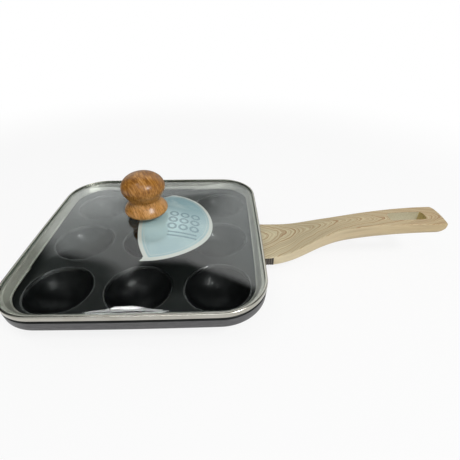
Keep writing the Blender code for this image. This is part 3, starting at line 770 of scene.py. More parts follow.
@dataclass(frozen=True)
class NonstickInside:
    """Black satin coating with faint orange peel; the cups are painted darker as painted shade."""

    shaded_cup_dark: Colour = (0.0015, 0.0015, 0.0018)
    shaded_cup_light: Colour = (0.004, 0.004, 0.0045)
    deck_dark: Colour = (0.009, 0.010, 0.0097)
    deck_light: Colour = (0.015, 0.0165, 0.016)
    smooth: float = 0.25
    rough: float = 0.33
    cloud_scale: float = 45.0
    peel_scale: float = 1400.0
    peel_height: float = 0.003 * MM
    refraction: float = 1.2
    lip_roughness: float = 0.16

    def material(self) -> bpy.types.Material:
        """Return the material: a mask darkens the cups as painted shade, noise varies tone, roughness and
        bump.

        Returns:
            The material.
        """
        material, graph = new_material("nonstick_inside")
        places = graph.places()
        cloud = graph.noise(places, self.cloud_scale, 3.0)
        peel = graph.noise(places, self.peel_scale)
        share = graph.step(cloud, 0.3, 0.7)
        deck = graph.blend(share, self.deck_dark, self.deck_light)
        cup = graph.blend(share, self.shaded_cup_dark, self.shaded_cup_light)
        # Painted shade: the cups take darker colours than the deck.
        colour = graph.blend(graph.mask("cup"), deck, cup)
        roughness = self.smooth + (self.rough - self.smooth) * (cloud * 0.6 + peel * 0.4)
        graph.surface(graph.principled({
            "Base Color": colour, "Roughness": roughness, "IOR": self.refraction,
            "Coat Weight": graph.mask("lip"), "Coat Roughness": self.lip_roughness,
            "Normal": graph.bump(peel, self.peel_height)}))
        return material


@dataclass(frozen=True)
class CoatedOutside:
    """Dark grey coating of the pan's outside, drawn in fine level lines."""

    dark: Colour = (0.060, 0.060, 0.062)
    light: Colour = (0.115, 0.114, 0.116)
    roughness: float = 0.50
    light_gloss: float = 0.12
    line_scale: Triple = (90.0, 90.0, 1600.0)
    grit_scale: float = 1900.0
    relief: float = 0.05 * MM

    def material(self) -> bpy.types.Material:
        """Return the material: noise that is long along the wall and thin in height draws the lines.

        Returns:
            The material.
        """
        material, graph = new_material("coated_outside")
        places = graph.places()
        lines = graph.grain(places, self.line_scale, 3.0, 0.6)
        grit = graph.noise(places, self.grit_scale)
        share = graph.step(lines * 0.7 + grit * 0.3, 0.36, 0.64)
        graph.surface(graph.principled({
            "Base Color": graph.blend(share, self.dark, self.light),
            "Roughness": self.roughness - self.light_gloss * share,
            "Normal": graph.bump(lines * 0.6 + grit * 0.4, self.relief)}))
        return material


@dataclass(frozen=True)
class Steel:
    """Bright stainless steel with rolling lines, faint warm stains and optional far-side painted shade.
    """

    name: str = "stainless_steel"
    bright: Colour = (0.475, 0.46, 0.415)
    stained: Colour = (0.425, 0.405, 0.35)
    roughness: float = 0.22
    line_scale: Triple = (60.0, 60.0, 2600.0)
    far_shade: float = 0.0
    far_side: Pair = (68.0 * MM, 102.0 * MM)
    cloud_scale: float = 60.0
    relief: float = 0.01 * MM

    def material(self) -> bpy.types.Material:
        """Return the material: level lines bump it, clouds warm it and painted shade darkens its far
        side.

        Returns:
            The material.
        """
        material, graph = new_material(self.name)
        places = graph.places()
        lines = graph.grain(places, self.line_scale, 3.0)
        cloud = graph.noise(places, self.cloud_scale, 3.0)
        colour = graph.blend(graph.step(cloud, 0.35, 0.75), self.bright, self.stained)
        _, depth, _ = graph.split(places)
        # Painted shade: darkens the steel toward its far, back side.
        far_shade_share = graph.step(depth, *self.far_side) * self.far_shade
        colour = graph.blend(far_shade_share, colour, BLACK)
        graph.surface(graph.principled({
            "Base Color": colour, "Metallic": 1.0,
            "Roughness": self.roughness + 0.10 * (lines - 0.5) + 0.06 * (cloud - 0.5),
            "Normal": graph.bump(lines, self.relief)}))
        return material


@dataclass(frozen=True)
class DarkSteel:
    """Browned steel of the flame guard, dull and lighter on its ribs."""

    dark: Colour = (0.055, 0.048, 0.040)
    paler: Colour = (0.16, 0.145, 0.125)
    roughness: float = 0.48
    metallic: float = 0.75
    grit_scale: float = 900.0
    relief: float = 0.04 * MM

    def material(self) -> bpy.types.Material:
        """Return the material: a ribbed attribute and noise mix its two browns.

        Returns:
            The material.
        """
        material, graph = new_material("dark_steel")
        places = graph.places()
        grit = graph.noise(places, self.grit_scale, 3.0)
        share = graph.mask("rib") * 0.8 + (grit - 0.5) * 0.7
        graph.surface(graph.principled({
            "Base Color": graph.blend(graph.step(share, 0.1, 0.9), self.dark, self.paler),
            "Metallic": self.metallic,
            "Roughness": self.roughness + 0.15 * (grit - 0.5),
            "Normal": graph.bump(grit, self.relief)}))
        return material


@dataclass(frozen=True)
class ClearGlass:
    """Tempered glass, clear with a green depth at its edge and a few wiping marks."""

    clear: Colour = (0.965, 0.985, 0.975)
    edge: Colour = (0.20, 0.255, 0.20)
    shade: Colour = (0.90, 0.93, 0.92)
    mark_scale: Triple = (14.0, 38.0, 20.0)
    mark_roughness: float = 0.045
    refraction: float = 1.5

    def material(self) -> bpy.types.Material:
        """Return the material: a mask greens the edge and stretched noise dulls a few marks.

        Light on its way to a lamp, and light scattered by what lies under the glass, passes
        straight through, a little greener.

        Returns:
            The material.
        """
        material, graph = new_material("tempered_glass")
        places = graph.places()
        marks = graph.grain(places, self.mark_scale, 4.0, 0.6, 0.6)
        glass = graph.principled({
            "Base Color": graph.blend(graph.mask("edge"), self.clear, self.edge),
            "Roughness": self.mark_roughness * graph.step(marks, 0.52, 0.82),
            "IOR": self.refraction, "Transmission Weight": 1.0})
        passing = graph.node("ShaderNodeBsdfTransparent", sockets={0: self.shade})
        straight = graph.math("MAXIMUM", graph.ray(Ray.SHADOW), graph.ray(Ray.SCATTERED))
        graph.surface(graph.node("ShaderNodeMixShader", sockets={0: straight, 1: glass, 2: passing}))
        return material


@dataclass(frozen=True)
class VarnishedWood:
    """Orange-brown turned wood under gloss varnish, with streaks, short dark flecks and a knot."""

    dark: Colour = (0.215, 0.082, 0.010)
    middle: Colour = (0.400, 0.172, 0.026)
    light: Colour = (0.62, 0.320, 0.100)
    fleck: Colour = (0.150, 0.050, 0.008)
    grain: Triple = (0.50, -0.62, -0.60)
    band_scale: Triple = (150.0, 220.0, 26.0)
    streak_scale: Triple = (1050.0, 330.0, 110.0)
    fleck_scale: Triple = (1500.0, 620.0, 330.0)
    knot: Triple = (0.001, -0.016, 0.079)
    knot_radius: float = 1.5 * MM
    shade_starts_at: float = 70.0 * MM
    shade_full_at: float = 98.0 * MM
    lift: float = 0.055
    drop: float = 0.11
    roughness: float = 0.30
    refraction: float = 1.38
    relief: float = 0.16 * MM

    def material(self) -> bpy.types.Material:
        """Return the material.

        The piece's places are measured along two directions across the grain and along it. Noise
        that is stretched along the grain gives bands, streaks and flecks. The tone deepens from
        the knob's base to its crown.

        Returns:
            The material.
        """
        material, graph = new_material("varnished_wood")
        places = graph.places()
        along = Vector(self.grain).normalized()
        side = along.cross(Vector((0.0, 0.0, 1.0))).normalized()
        depth = along.cross(side)
        parts = [graph.vector_math("DOT_PRODUCT", places, tuple(way)) for way in (side, depth, along)]
        wood = graph.vector(*parts)
        bands = graph.grain(wood, self.band_scale, 3.0, 0.55, 0.5)
        streaks = graph.grain(wood, self.streak_scale, 3.0, 0.6)
        flecks = graph.grain(wood, self.fleck_scale, 1.0)
        _, _, height = graph.split(places)
        tone = bands * 0.35 + streaks * 0.65 + self.lift
        # Painted shade: the tone darkens toward the crown and stays lighter at the base.
        tone = tone - self.drop * graph.step(height, self.shade_starts_at, self.shade_full_at)
        colour = graph.ramp(tone, [(0.37, self.dark), (0.48, self.middle), (0.61, self.light)])
        speck = graph.step(flecks, 0.58, 0.72)
        colour = graph.blend(speck * 0.70, colour, self.fleck)
        away = graph.vector_math("DISTANCE", places, self.knot)
        spot = 1 - graph.step(away, self.knot_radius * 0.5, self.knot_radius)
        colour = graph.blend(spot * 0.85, colour, self.fleck)
        bumps = streaks * 0.7 - speck * 0.3
        graph.surface(graph.principled({
            "Base Color": colour,
            "Roughness": self.roughness + 0.16 * (streaks - 0.4),
            "IOR": self.refraction, "Coat Weight": 0.25, "Coat Roughness": 0.2,
            "Normal": graph.bump(bumps, self.relief)}))
        return material


class GripFace(Enum):
    """The two printed faces of the grip."""

    TOP = "top"
    SIDE = "side"


@dataclass(frozen=True)
class HangSlot:
    """The slot near the grip's end, a rectangle along the grip with round corners."""

    end: float
    length: float = 37.0 * MM
    width: float = 14.0 * MM
    corner: float = 4.0 * MM

    @property
    def middle(self) -> np.ndarray:
        """Return its middle in the plane."""
        return np.array([self.end - self.length / 2, 0.0])

    @property
    def half(self) -> np.ndarray:
        """Return half its length and half its width."""
        return np.array([self.length / 2, self.width / 2])

    def loop(self) -> np.ndarray:
        """Return its outline."""
        return rounded_rectangle(*self.half, self.corner, 10, 4) + self.middle

    def holds(self, places: np.ndarray, slack: float) -> np.ndarray:
        """Return which places lie in its rectangle, made larger all round by a slack."""
        return (np.abs(places[:, :2] - self.middle) < self.half + slack).all(axis=1)


@dataclass(frozen=True)
class PaleWood:
    """Pale beige wood print: nested arches on the top face, straight lines on the sides."""

    face: GripFace = GripFace.TOP
    grounds: tuple[Colour, Colour, Colour] = ((0.69, 0.62, 0.40), (0.65, 0.57, 0.36), (0.59, 0.465, 0.25))
    line: Colour = (0.34, 0.170, 0.062)
    shade: float = 0.14
    roughness: float = 0.42
    wide_rings: float = 17.0
    fine_rings: float = 43.0
    pore_scale: Triple = (260.0, 2600.0, 2600.0)
    relief: float = 0.03 * MM
    slot: HangSlot | None = None
    slot_line: float = 0.9 * MM
    wear_scale: Triple = (420.0, 420.0, 420.0)

    def arches(self, graph: Graph) -> tuple[Signal, Signal]:
        """Return the line and tone signals of the top face.

        The map gives the place along the grip in tenths of a metre and the share across it, -1
        at the near edge and 1 at the far one. A point's ring number is its place along the grip
        plus a share of its squared distance from a wandering axis, so each ring is an arch that
        points to the grip's end. Slow noise of the ring number makes groups of strong rings.

        Args:
            graph: The material's graph.

        Returns:
            Strength of the lines, and the tone.
        """
        u, v, _ = graph.split(graph.map_places("top_print"))
        axis = 0.30 - 0.40 * graph.step(u, 0.75, 1.35)
        away = v - axis + 0.25 * (graph.noise(graph.vector(u * 4.0, 0.0, 3.0), 1.0, 1.0) - 0.5)
        warp = graph.noise(graph.vector(u * 7.0, v * 1.3, 0.3), 1.0, 2.0, 0.5)
        fringe = graph.noise(graph.vector(u * 30.0, v * 3.0, 4.0), 1.0, 2.0, 0.5)
        spread = away * away
        arms = spread / graph.math("SQRT", 1 + 1.1 * spread)
        reach = u + 0.62 * arms + 0.16 * (warp - 0.5) + 0.018 * (fringe - 0.5)
        slow = graph.noise(graph.vector(reach * 9.0, 0.0, 7.0), 1.0, 1.0)
        drift = graph.noise(graph.vector(reach * 5.0, 5.0, 1.0), 1.0, 2.0)
        wide = graph.math("FRACT", reach * self.wide_rings + drift * 2.2)
        fine = graph.math("FRACT", reach * self.fine_rings + drift * 3.0)
        strong = graph.step(slow, 0.40, 0.62)
        thick = graph.step(wide, 0.30, 0.86) * (1 - graph.step(wide, 0.88, 1.0))
        thin = graph.step(fine, 0.35, 0.85) * (1 - graph.step(fine, 0.88, 1.0))
        ink = thick * (0.30 + 0.68 * strong) + thin * (0.26 + 0.36 * strong)
        tone = graph.noise(graph.vector(reach * 6.0, v * 1.2, 0.0), 1.0, 3.0)
        return ink, tone

    def fibres(self, graph: Graph) -> tuple[Signal, Signal]:
        """Return the line and tone signals of the sides: noise that is long along the grip.

        Args:
            graph: The material's graph.

        Returns:
            Strength of the lines, and the tone.
        """
        u, v, _ = graph.split(graph.map_places("side_print"))
        lines = graph.noise(graph.vector(u * 3.5, v * 16.0, 0.0), 1.0, 3.0, 0.6, 0.3)
        ink = graph.step(lines, 0.52, 0.72) * 0.42
        tone = graph.noise(graph.vector(u * 2.0, v * 3.0, 2.0), 1.0, 2.0)
        return ink, tone

    def slot_edge(self, graph: Graph, places: Signal) -> Signal:
        """Return 1 in a thin line round the hang slot, broken by noise.

        The slot is a core rectangle with a round margin: the distance to the core less the
        corner's radius is the distance to the slot's edge.

        Args:
            graph: The material's graph.
            places: The piece's coordinates.

        Returns:
            Strength of the line.
        """
        x, y, _ = graph.split(places)
        core = self.slot.half - self.slot.corner
        beyond = [graph.math("MAXIMUM", abs(value - middle) - reach, 0.0)
                  for value, middle, reach in zip((x, y), self.slot.middle, core)]
        away = graph.math("SQRT", beyond[0] * beyond[0] + beyond[1] * beyond[1]) - self.slot.corner
        worn = graph.grain(places, self.wear_scale, 1.0)
        return (1 - graph.step(away, 0.4 * self.slot_line, self.slot_line)) * graph.step(worn, 0.36, 0.56)

    def material(self) -> bpy.types.Material:
        """Return the material: the ground changes from root to end under the lines and fine pores.

        Returns:
            The material.
        """
        material, graph = new_material("pale_wood_" + self.face.value)
        ink, tone = self.arches(graph) if self.face is GripFace.TOP else self.fibres(graph)
        along, _, _ = graph.split(graph.map_places(self.face.value + "_print"))
        ground = graph.ramp(along * 0.5, list(zip((0.10, 0.32, 0.90), self.grounds)))
        places = graph.places()
        pores = graph.grain(places, self.pore_scale)
        ground = graph.blend(graph.step(tone, 0.35, 0.7) * self.shade, ground, BLACK)
        colour = graph.blend(ink * 0.85, ground, self.line)
        colour = graph.blend(graph.step(pores, 0.58, 0.8) * 0.18, colour, self.line)
        if self.slot is not None:
            colour = graph.blend(self.slot_edge(graph, places) * 0.6, colour, self.line)
        graph.surface(graph.principled({
            "Base Color": colour,
            "Roughness": self.roughness + 0.12 * (pores - 0.5) + 0.05 * ink,
            "Coat Weight": 0.15, "Coat Roughness": 0.3,
            "Normal": graph.bump(pores * 0.5 - ink * 0.5, self.relief)}))
        return material


@dataclass(frozen=True)
class CardPrint:
    """Pale blue printed card with a white border, softly creased."""

    front_blue: Colour = (0.395, 0.545, 0.59)
    back_blue: Colour = (0.25, 0.435, 0.50)
    pale: Colour = (0.47, 0.61, 0.64)
    white: Colour = (0.74, 0.74, 0.70)
    ink: Colour = (0.11, 0.22, 0.29)
    glow: Colour = (0.60, 0.79, 0.84)
    painted_light_centre: Triple = (14.0 * MM, -8.0 * MM, 51.0 * MM)
    painted_light_radius: float = 32.0 * MM
    border: float = 3.5 * MM
    inner_line: float = 5.6 * MM
    motif_centre: Pair = (36.0 * MM, -4.0 * MM)
    motif_pitch: float = 10.5 * MM
    ring_radius: float = 0.34
    bar_height: float = -2.05
    bar_gap: float = 0.22
    blue_span: Pair = (-10.0 * MM, 45.0 * MM)
    crease_scale: Triple = (26.0, 34.0, 10.0)
    crease_height: float = 0.9 * MM
    fibre_scale: float = 1500.0

    def motif(self, graph: Graph, places: Signal) -> Signal:
        """Return the printed motif: three by three rings, with two bars below them.

        The place is measured in pitches from the motif's middle. The nearest ring's middle is
        that number rounded and held between -1 and 1, and its line lies a ring's radius away.

        Args:
            graph: The material's graph.
            places: The piece's coordinates.

        Returns:
            Strength of the ink.
        """
        x, y, _ = graph.split(places)
        right, up = ((value - middle) / self.motif_pitch
                     for value, middle in zip((x, y), self.motif_centre))
        off = []
        for value in (right, up):
            nearest = graph.math("MAXIMUM", graph.math("ROUND", value), -1.0)
            off.append(value - graph.math("MINIMUM", nearest, 1.0))
        distance = graph.math("SQRT", off[0] * off[0] + off[1] * off[1])
        rings = 1 - graph.step(abs(distance - self.ring_radius), 0.08, 0.12)
        from_bar = abs(abs(up - self.bar_height) - self.bar_gap)
        bars = (1 - graph.step(from_bar, 0.07, 0.11)) * (1 - graph.step(abs(right), 1.25, 1.30))
        return graph.math("MAXIMUM", rings, bars)

    def material(self) -> bpy.types.Material:
        """Return the material: the distance to the edge draws the border, noise the creases.

        The print is paler in a soft round patch before the screw.

        Returns:
            The material.
        """
        material, graph = new_material("pale_blue_card")
        places = graph.places()
        inward = graph.mask("from_edge")
        crease = graph.grain(places, self.crease_scale, 3.0, 0.6, 1.2)
        fibre = graph.noise(places, self.fibre_scale)
        _, depth, _ = graph.split(places)
        back = graph.step(depth, *self.blue_span)
        blue = graph.blend(back, self.front_blue, self.back_blue)
        colour = graph.blend(graph.step(crease, 0.50, 0.72), blue, self.pale)
        # Painted light: a paler patch where the knob shades the card.
        away = graph.vector_math("DISTANCE", places, self.painted_light_centre)
        glow = 1 - graph.step(away, self.painted_light_radius * 0.5, self.painted_light_radius)
        colour = graph.blend(glow * 0.8, colour, self.glow)
        colour = graph.blend(graph.step(fibre, 0.35, 0.75) * 0.10, colour, self.white)
        colour = graph.blend(self.motif(graph, places) * 0.75, colour, self.ink)
        line = 1 - graph.step(abs(inward - self.inner_line), 0.2 * MM, 0.4 * MM)
        border = 1 - graph.step(inward, self.border * 0.85, self.border * 1.15)
        colour = graph.blend(graph.math("MAXIMUM", border, line * 0.6), colour, self.white)
        graph.surface(graph.principled({
            "Base Color": colour, "Roughness": 0.55 + 0.2 * (fibre - 0.5),
            "Normal": graph.bump(crease, self.crease_height)}))
        return material


@dataclass(frozen=True)
class Plain:
    """A small part's finish: one colour with fine grit in its tone, roughness and bump."""

    name: str
    dark: Colour
    light: Colour
    roughness: float
    metallic: float = 0.0
    grit_scale: float = 1200.0
    relief: float = 0.02 * MM

    def material(self) -> bpy.types.Material:
        """Return the material: noise mixes its two tones.

        Returns:
            The material.
        """
        material, graph = new_material(self.name)
        grit = graph.noise(graph.places(), self.grit_scale, 3.0)
        graph.surface(graph.principled({
            "Base Color": graph.blend(graph.step(grit, 0.3, 0.7), self.dark, self.light),
            "Roughness": self.roughness + 0.12 * (grit - 0.5), "Metallic": self.metallic,
            "Normal": graph.bump(grit, self.relief)}))
        return material


# Pan


@dataclass
class PanBody:
    """The coated casting: tray wall, deck, nine cups, handle lug and tongue."""

    outline: Outline
    pitch: float = 70.0 * MM
    mouth_radius: float = 29.0 * MM
    cup_depth: float = 20.0 * MM
    cup_floor: float = 3.6 * MM
    lip_radius: float = 1.5 * MM
    outer_radius: float = 32.86 * MM
    outer_centre: float = 31.3 * MM
    foot_radius: float = 10.0 * MM
    under_fillet: float = 2.0 * MM
    deck_top: float = 23.6 * MM
    deck_bottom: float = 20.6 * MM
    rim_top: float = 33.0 * MM
    wall_inset: float = 0.3 * MM
    wall_draft: float = 0.5 * MM
    wall_thickness: float = 4.2 * MM
    edge_radius: float = 4.0 * MM
    fillet: float = 3.0 * MM
    rim_round: float = 1.7 * MM
    flat_ring: float = 1.0 * MM
    lug_start: float = 97.0 * MM
    lug_face: float = 116.3 * MM
    lug_half_width: float = 28.0 * MM
    lug_bottom: float = 12.6 * MM
    lug_top: float = 21.0 * MM
    lug_corner: float = 1.2 * MM
    lug_round: float = 0.8 * MM
    tongue_end: float = 152.3 * MM
    tongue_half_width: float = 11.0 * MM
    tongue_half_height: float = 2.3 * MM
    tongue_middle: float = 17.1 * MM
    tongue_slope: float = 0.17
    tongue_corner: float = 0.6 * MM
    tongue_sink: float = 1.0 * MM
    black_crown_and_shade: float = 1.2 * MM
    segments: int = 96

    def centres(self) -> list[Pair]:
        """Return the middles of the nine cups."""
        steps = (-self.pitch, 0.0, self.pitch)
        return [(x, y) for y in steps for x in steps]

    def wall_profile(self) -> np.ndarray:
        """Return the wall as inset and height, from the underside round the outside to the deck.

        Returns:
            Points of inset and height.
        """
        foot = self.wall_inset + self.wall_draft
        inner = self.wall_inset + self.wall_thickness
        edge, fillet, top = self.edge_radius, self.fillet, self.rim_round
        under = (foot + edge + self.flat_ring, self.deck_bottom)
        lower = arc((foot + edge, self.deck_bottom + edge), edge, 270, 180, 14)
        crown = arc((self.wall_inset + top, self.rim_top - top), top, 180, 90, 6)
        shoulder = arc((inner - top / 2, self.rim_top - top / 2), top / 2, 90, 0, 4)
        corner = arc((inner + self.wall_draft + fillet, self.deck_top + fillet), fillet, 180, 270, 10)
        end = (inner + self.wall_draft + fillet + self.flat_ring, self.deck_top)
        return join(np.array(under), lower, crown, shoulder, corner, np.array(end))

    def cup_profile(self) -> tuple[np.ndarray, float]:
        """Return a cup's inside as radius and height, and the radius of its flat ring.

        The bowl is part of a sphere. The lip is an arc that touches the deck and the sphere.

        Returns:
            Points of radius and height, and the ring's radius.
        """
        sphere = (self.mouth_radius ** 2 + self.cup_depth ** 2) / (2 * self.cup_depth)
        centre = self.cup_floor + sphere
        middle, turn = touching(self.deck_top, self.lip_radius, centre, sphere)
        lip = arc(middle, self.lip_radius, 90, 180 - turn, 6)
        bowl = arc((0.0, centre), sphere, -turn, -88.5, 26)
        ring = middle[0] + self.flat_ring
        return join(np.array((ring, self.deck_top)), lip, bowl), ring

    def under_profile(self) -> tuple[np.ndarray, float]:
        """Return a cup's outside as radius and height, and the radius of its flat ring.

        The foot is flat, the bowl part of a sphere, and an arc takes it into the underside.

        Returns:
            Points of radius and height, and the ring's radius.
        """
        middle, turn = touching(self.deck_bottom, self.under_fillet, self.outer_centre, self.outer_radius)
        low = math.degrees(math.acos(self.foot_radius / self.outer_radius))
        foot = np.array([[0.5 * self.foot_radius, 0.0], [0.97 * self.foot_radius, 0.0]])
        bowl = arc((0.0, self.outer_centre), self.outer_radius, -low, -turn, 18)
        bend = arc(middle, self.under_fillet, 180 - turn, 90, 5)
        ring = middle[0] + 0.5 * self.flat_ring
        return join(foot, bowl, bend, np.array((ring, self.deck_bottom))), ring

    def build(self) -> Piece:
        """Build the casting as one piece.

        Returns:
            The object.
        """
        shell = Shell()
        wall = self.wall_profile()
        shell.add_grid(self.outline.sweep(wall))
        cup, ring = self.cup_profile()
        under, under_ring = self.under_profile()
        centres = self.centres()
        shell.add_plate(self.outline.loop(wall[-1, 0]), [(centre, ring) for centre in centres],
                        self.deck_top, self.segments)
        shell.add_plate(self.outline.loop(wall[0, 0]), [(centre, under_ring) for centre in centres],
                        self.deck_bottom, self.segments)
        for centre in centres:
            for profile, pole in ((cup, self.cup_floor), (under, 0.0)):
                grid = turned(profile, self.segments, centre)
                shell.add_grid(grid)
                end = grid[-1] if profile is cup else grid[0]
                shell.add_fan(end, np.array([*centre, pole]))
        self.add_lug(shell)
        return shell.build("look_pan_body", 40.0)

    def add_lug(self, shell: Shell) -> None:
        """Add the lug under the tray's edge, its outer edges rounded, and the tongue.

        Args:
            shell: The shell that takes both.
        """
        turn = np.radians(np.linspace(0.0, 90.0, 5))
        bend = self.lug_face - self.lug_round * (1 - np.sin(turn))
        stations = np.concatenate([[self.lug_start], bend])
        shrink = np.concatenate([[0.0], self.lug_round * (1 - np.cos(turn))])
        middle = (self.lug_top + self.lug_bottom) / 2
        half_height = (self.lug_top - self.lug_bottom) / 2 - shrink
        shell.add_bar(stations, self.lug_half_width - shrink, middle, half_height, self.lug_corner)
        places = np.array([self.lug_face - self.tongue_sink, self.tongue_end])
        centre = self.tongue_middle + self.tongue_slope * (places - self.lug_face)
        shell.add_bar(places, self.tongue_half_width, centre, self.tongue_half_height,
                      self.tongue_corner)

    def dress(self, piece: Piece) -> None:
        """Coat the inside black and satin, and the outside grey; the wall's black crown is coating and
        painted shade.

        Args:
            piece: The casting.
        """
        middles = face_values(piece, "center")
        normals = face_values(piece, "normal")
        inset = self.outline.inset(middles)
        outward = (normals[:, :2] * middles[:, :2]).sum(axis=1) > 0
        outside = (inset < 1.5 * self.wall_thickness) & (outward | (normals[:, 2] < 0.0))
        outside |= normals[:, 2] < -0.02
        # The black crown stands for coating over the rim and for painted shade under the lid's rim.
        outside &= middles[:, 2] < self.rim_top - self.black_crown_and_shade
        outside |= middles[:, 0] > self.outline.side / 2
        points = vertex_places(piece)
        to_cup = np.min([np.hypot(*(points[:, :2] - centre).T) for centre in self.centres()], axis=0)
        ring = self.cup_profile()[1]
        in_cup = to_cup < ring - 0.5 * self.flat_ring
        # The cup mask marks where the coating is painted darker as shade.
        lay_mask(piece, "cup", in_cup)
        near_edge = to_cup > ring - 2.0 * self.lip_radius
        high = points[:, 2] > self.deck_top - 2.0 * self.lip_radius
        lay_mask(piece, "lip", in_cup & near_edge & high)
        materials = [NonstickInside().material(), CoatedOutside().material()]
        place(piece, Body.PAN, Slot.NONSTICK, materials, outside)


# Handle


@dataclass
class FlameGuard:
    """The dark steel collar between the lug and the grip."""

    start: float = 116.6 * MM
    length: float = 9.0 * MM
    half_width: float = 29.4 * MM
    bottom: float = 12.4 * MM
    top: float = 21.3 * MM
    sheet: float = 1.2 * MM
    corner: float = 1.0 * MM
    inner_corner: float = 0.5 * MM
    ribs: int = 4
    rib_depth: float = 0.22 * MM
    window_half_width: float = 11.4 * MM
    window_half_height: float = 2.7 * MM
    tongue_middle: float = 18.7 * MM

    def loop(self, x: float, half_width: float, half_height: float, middle: float,
             radius: float) -> np.ndarray:
        """Return one upright rounded rectangle across the handle."""
        return stand_across(rounded_rectangle(half_width, half_height, radius, 5, 6), x, middle)

    def build(self) -> Piece:
        """Build the collar: ribbed outside, end plate with the tongue's window, plain inside.

        The outside's inset is the ribs' depth times half a cosine wave of the place along X.

        Returns:
            The object.
        """
        middle, half = (self.top + self.bottom) / 2, (self.top - self.bottom) / 2
        end = self.start + self.length
        share = np.linspace(0.0, 1.0, 49)
        dip = self.rib_depth * (1 - np.cos(2 * np.pi * self.ribs * share)) / 2
        rows = [self.loop(self.start + self.length * at, self.half_width - inset, half - inset, middle,
                          self.corner) for at, inset in zip(share, dip)]
        window = (self.window_half_width, self.window_half_height, self.tongue_middle, self.inner_corner)
        hollow = (self.half_width - self.sheet, half - self.sheet, middle, self.inner_corner)
        rows.append(self.loop(end, *window))
        rows.append(self.loop(end - self.sheet, *window))
        rows.append(self.loop(end - self.sheet, *hollow))
        rows.append(self.loop(self.start, *hollow))
        return ring_piece("look_flame_guard", np.stack(rows), 40.0)

    def dress(self, piece: Piece) -> None:
        """Brown the steel and lighten its ribs.

        Args:
            piece: The collar.
        """
        x = vertex_places(piece)[:, 0]
        rib = (1 + np.cos(2 * np.pi * self.ribs * (x - self.start) / self.length)) / 2
        lay_mask(piece, "rib", rib)
        place(piece, Body.PAN, Slot.DARK_STEEL, [DarkSteel().material()])


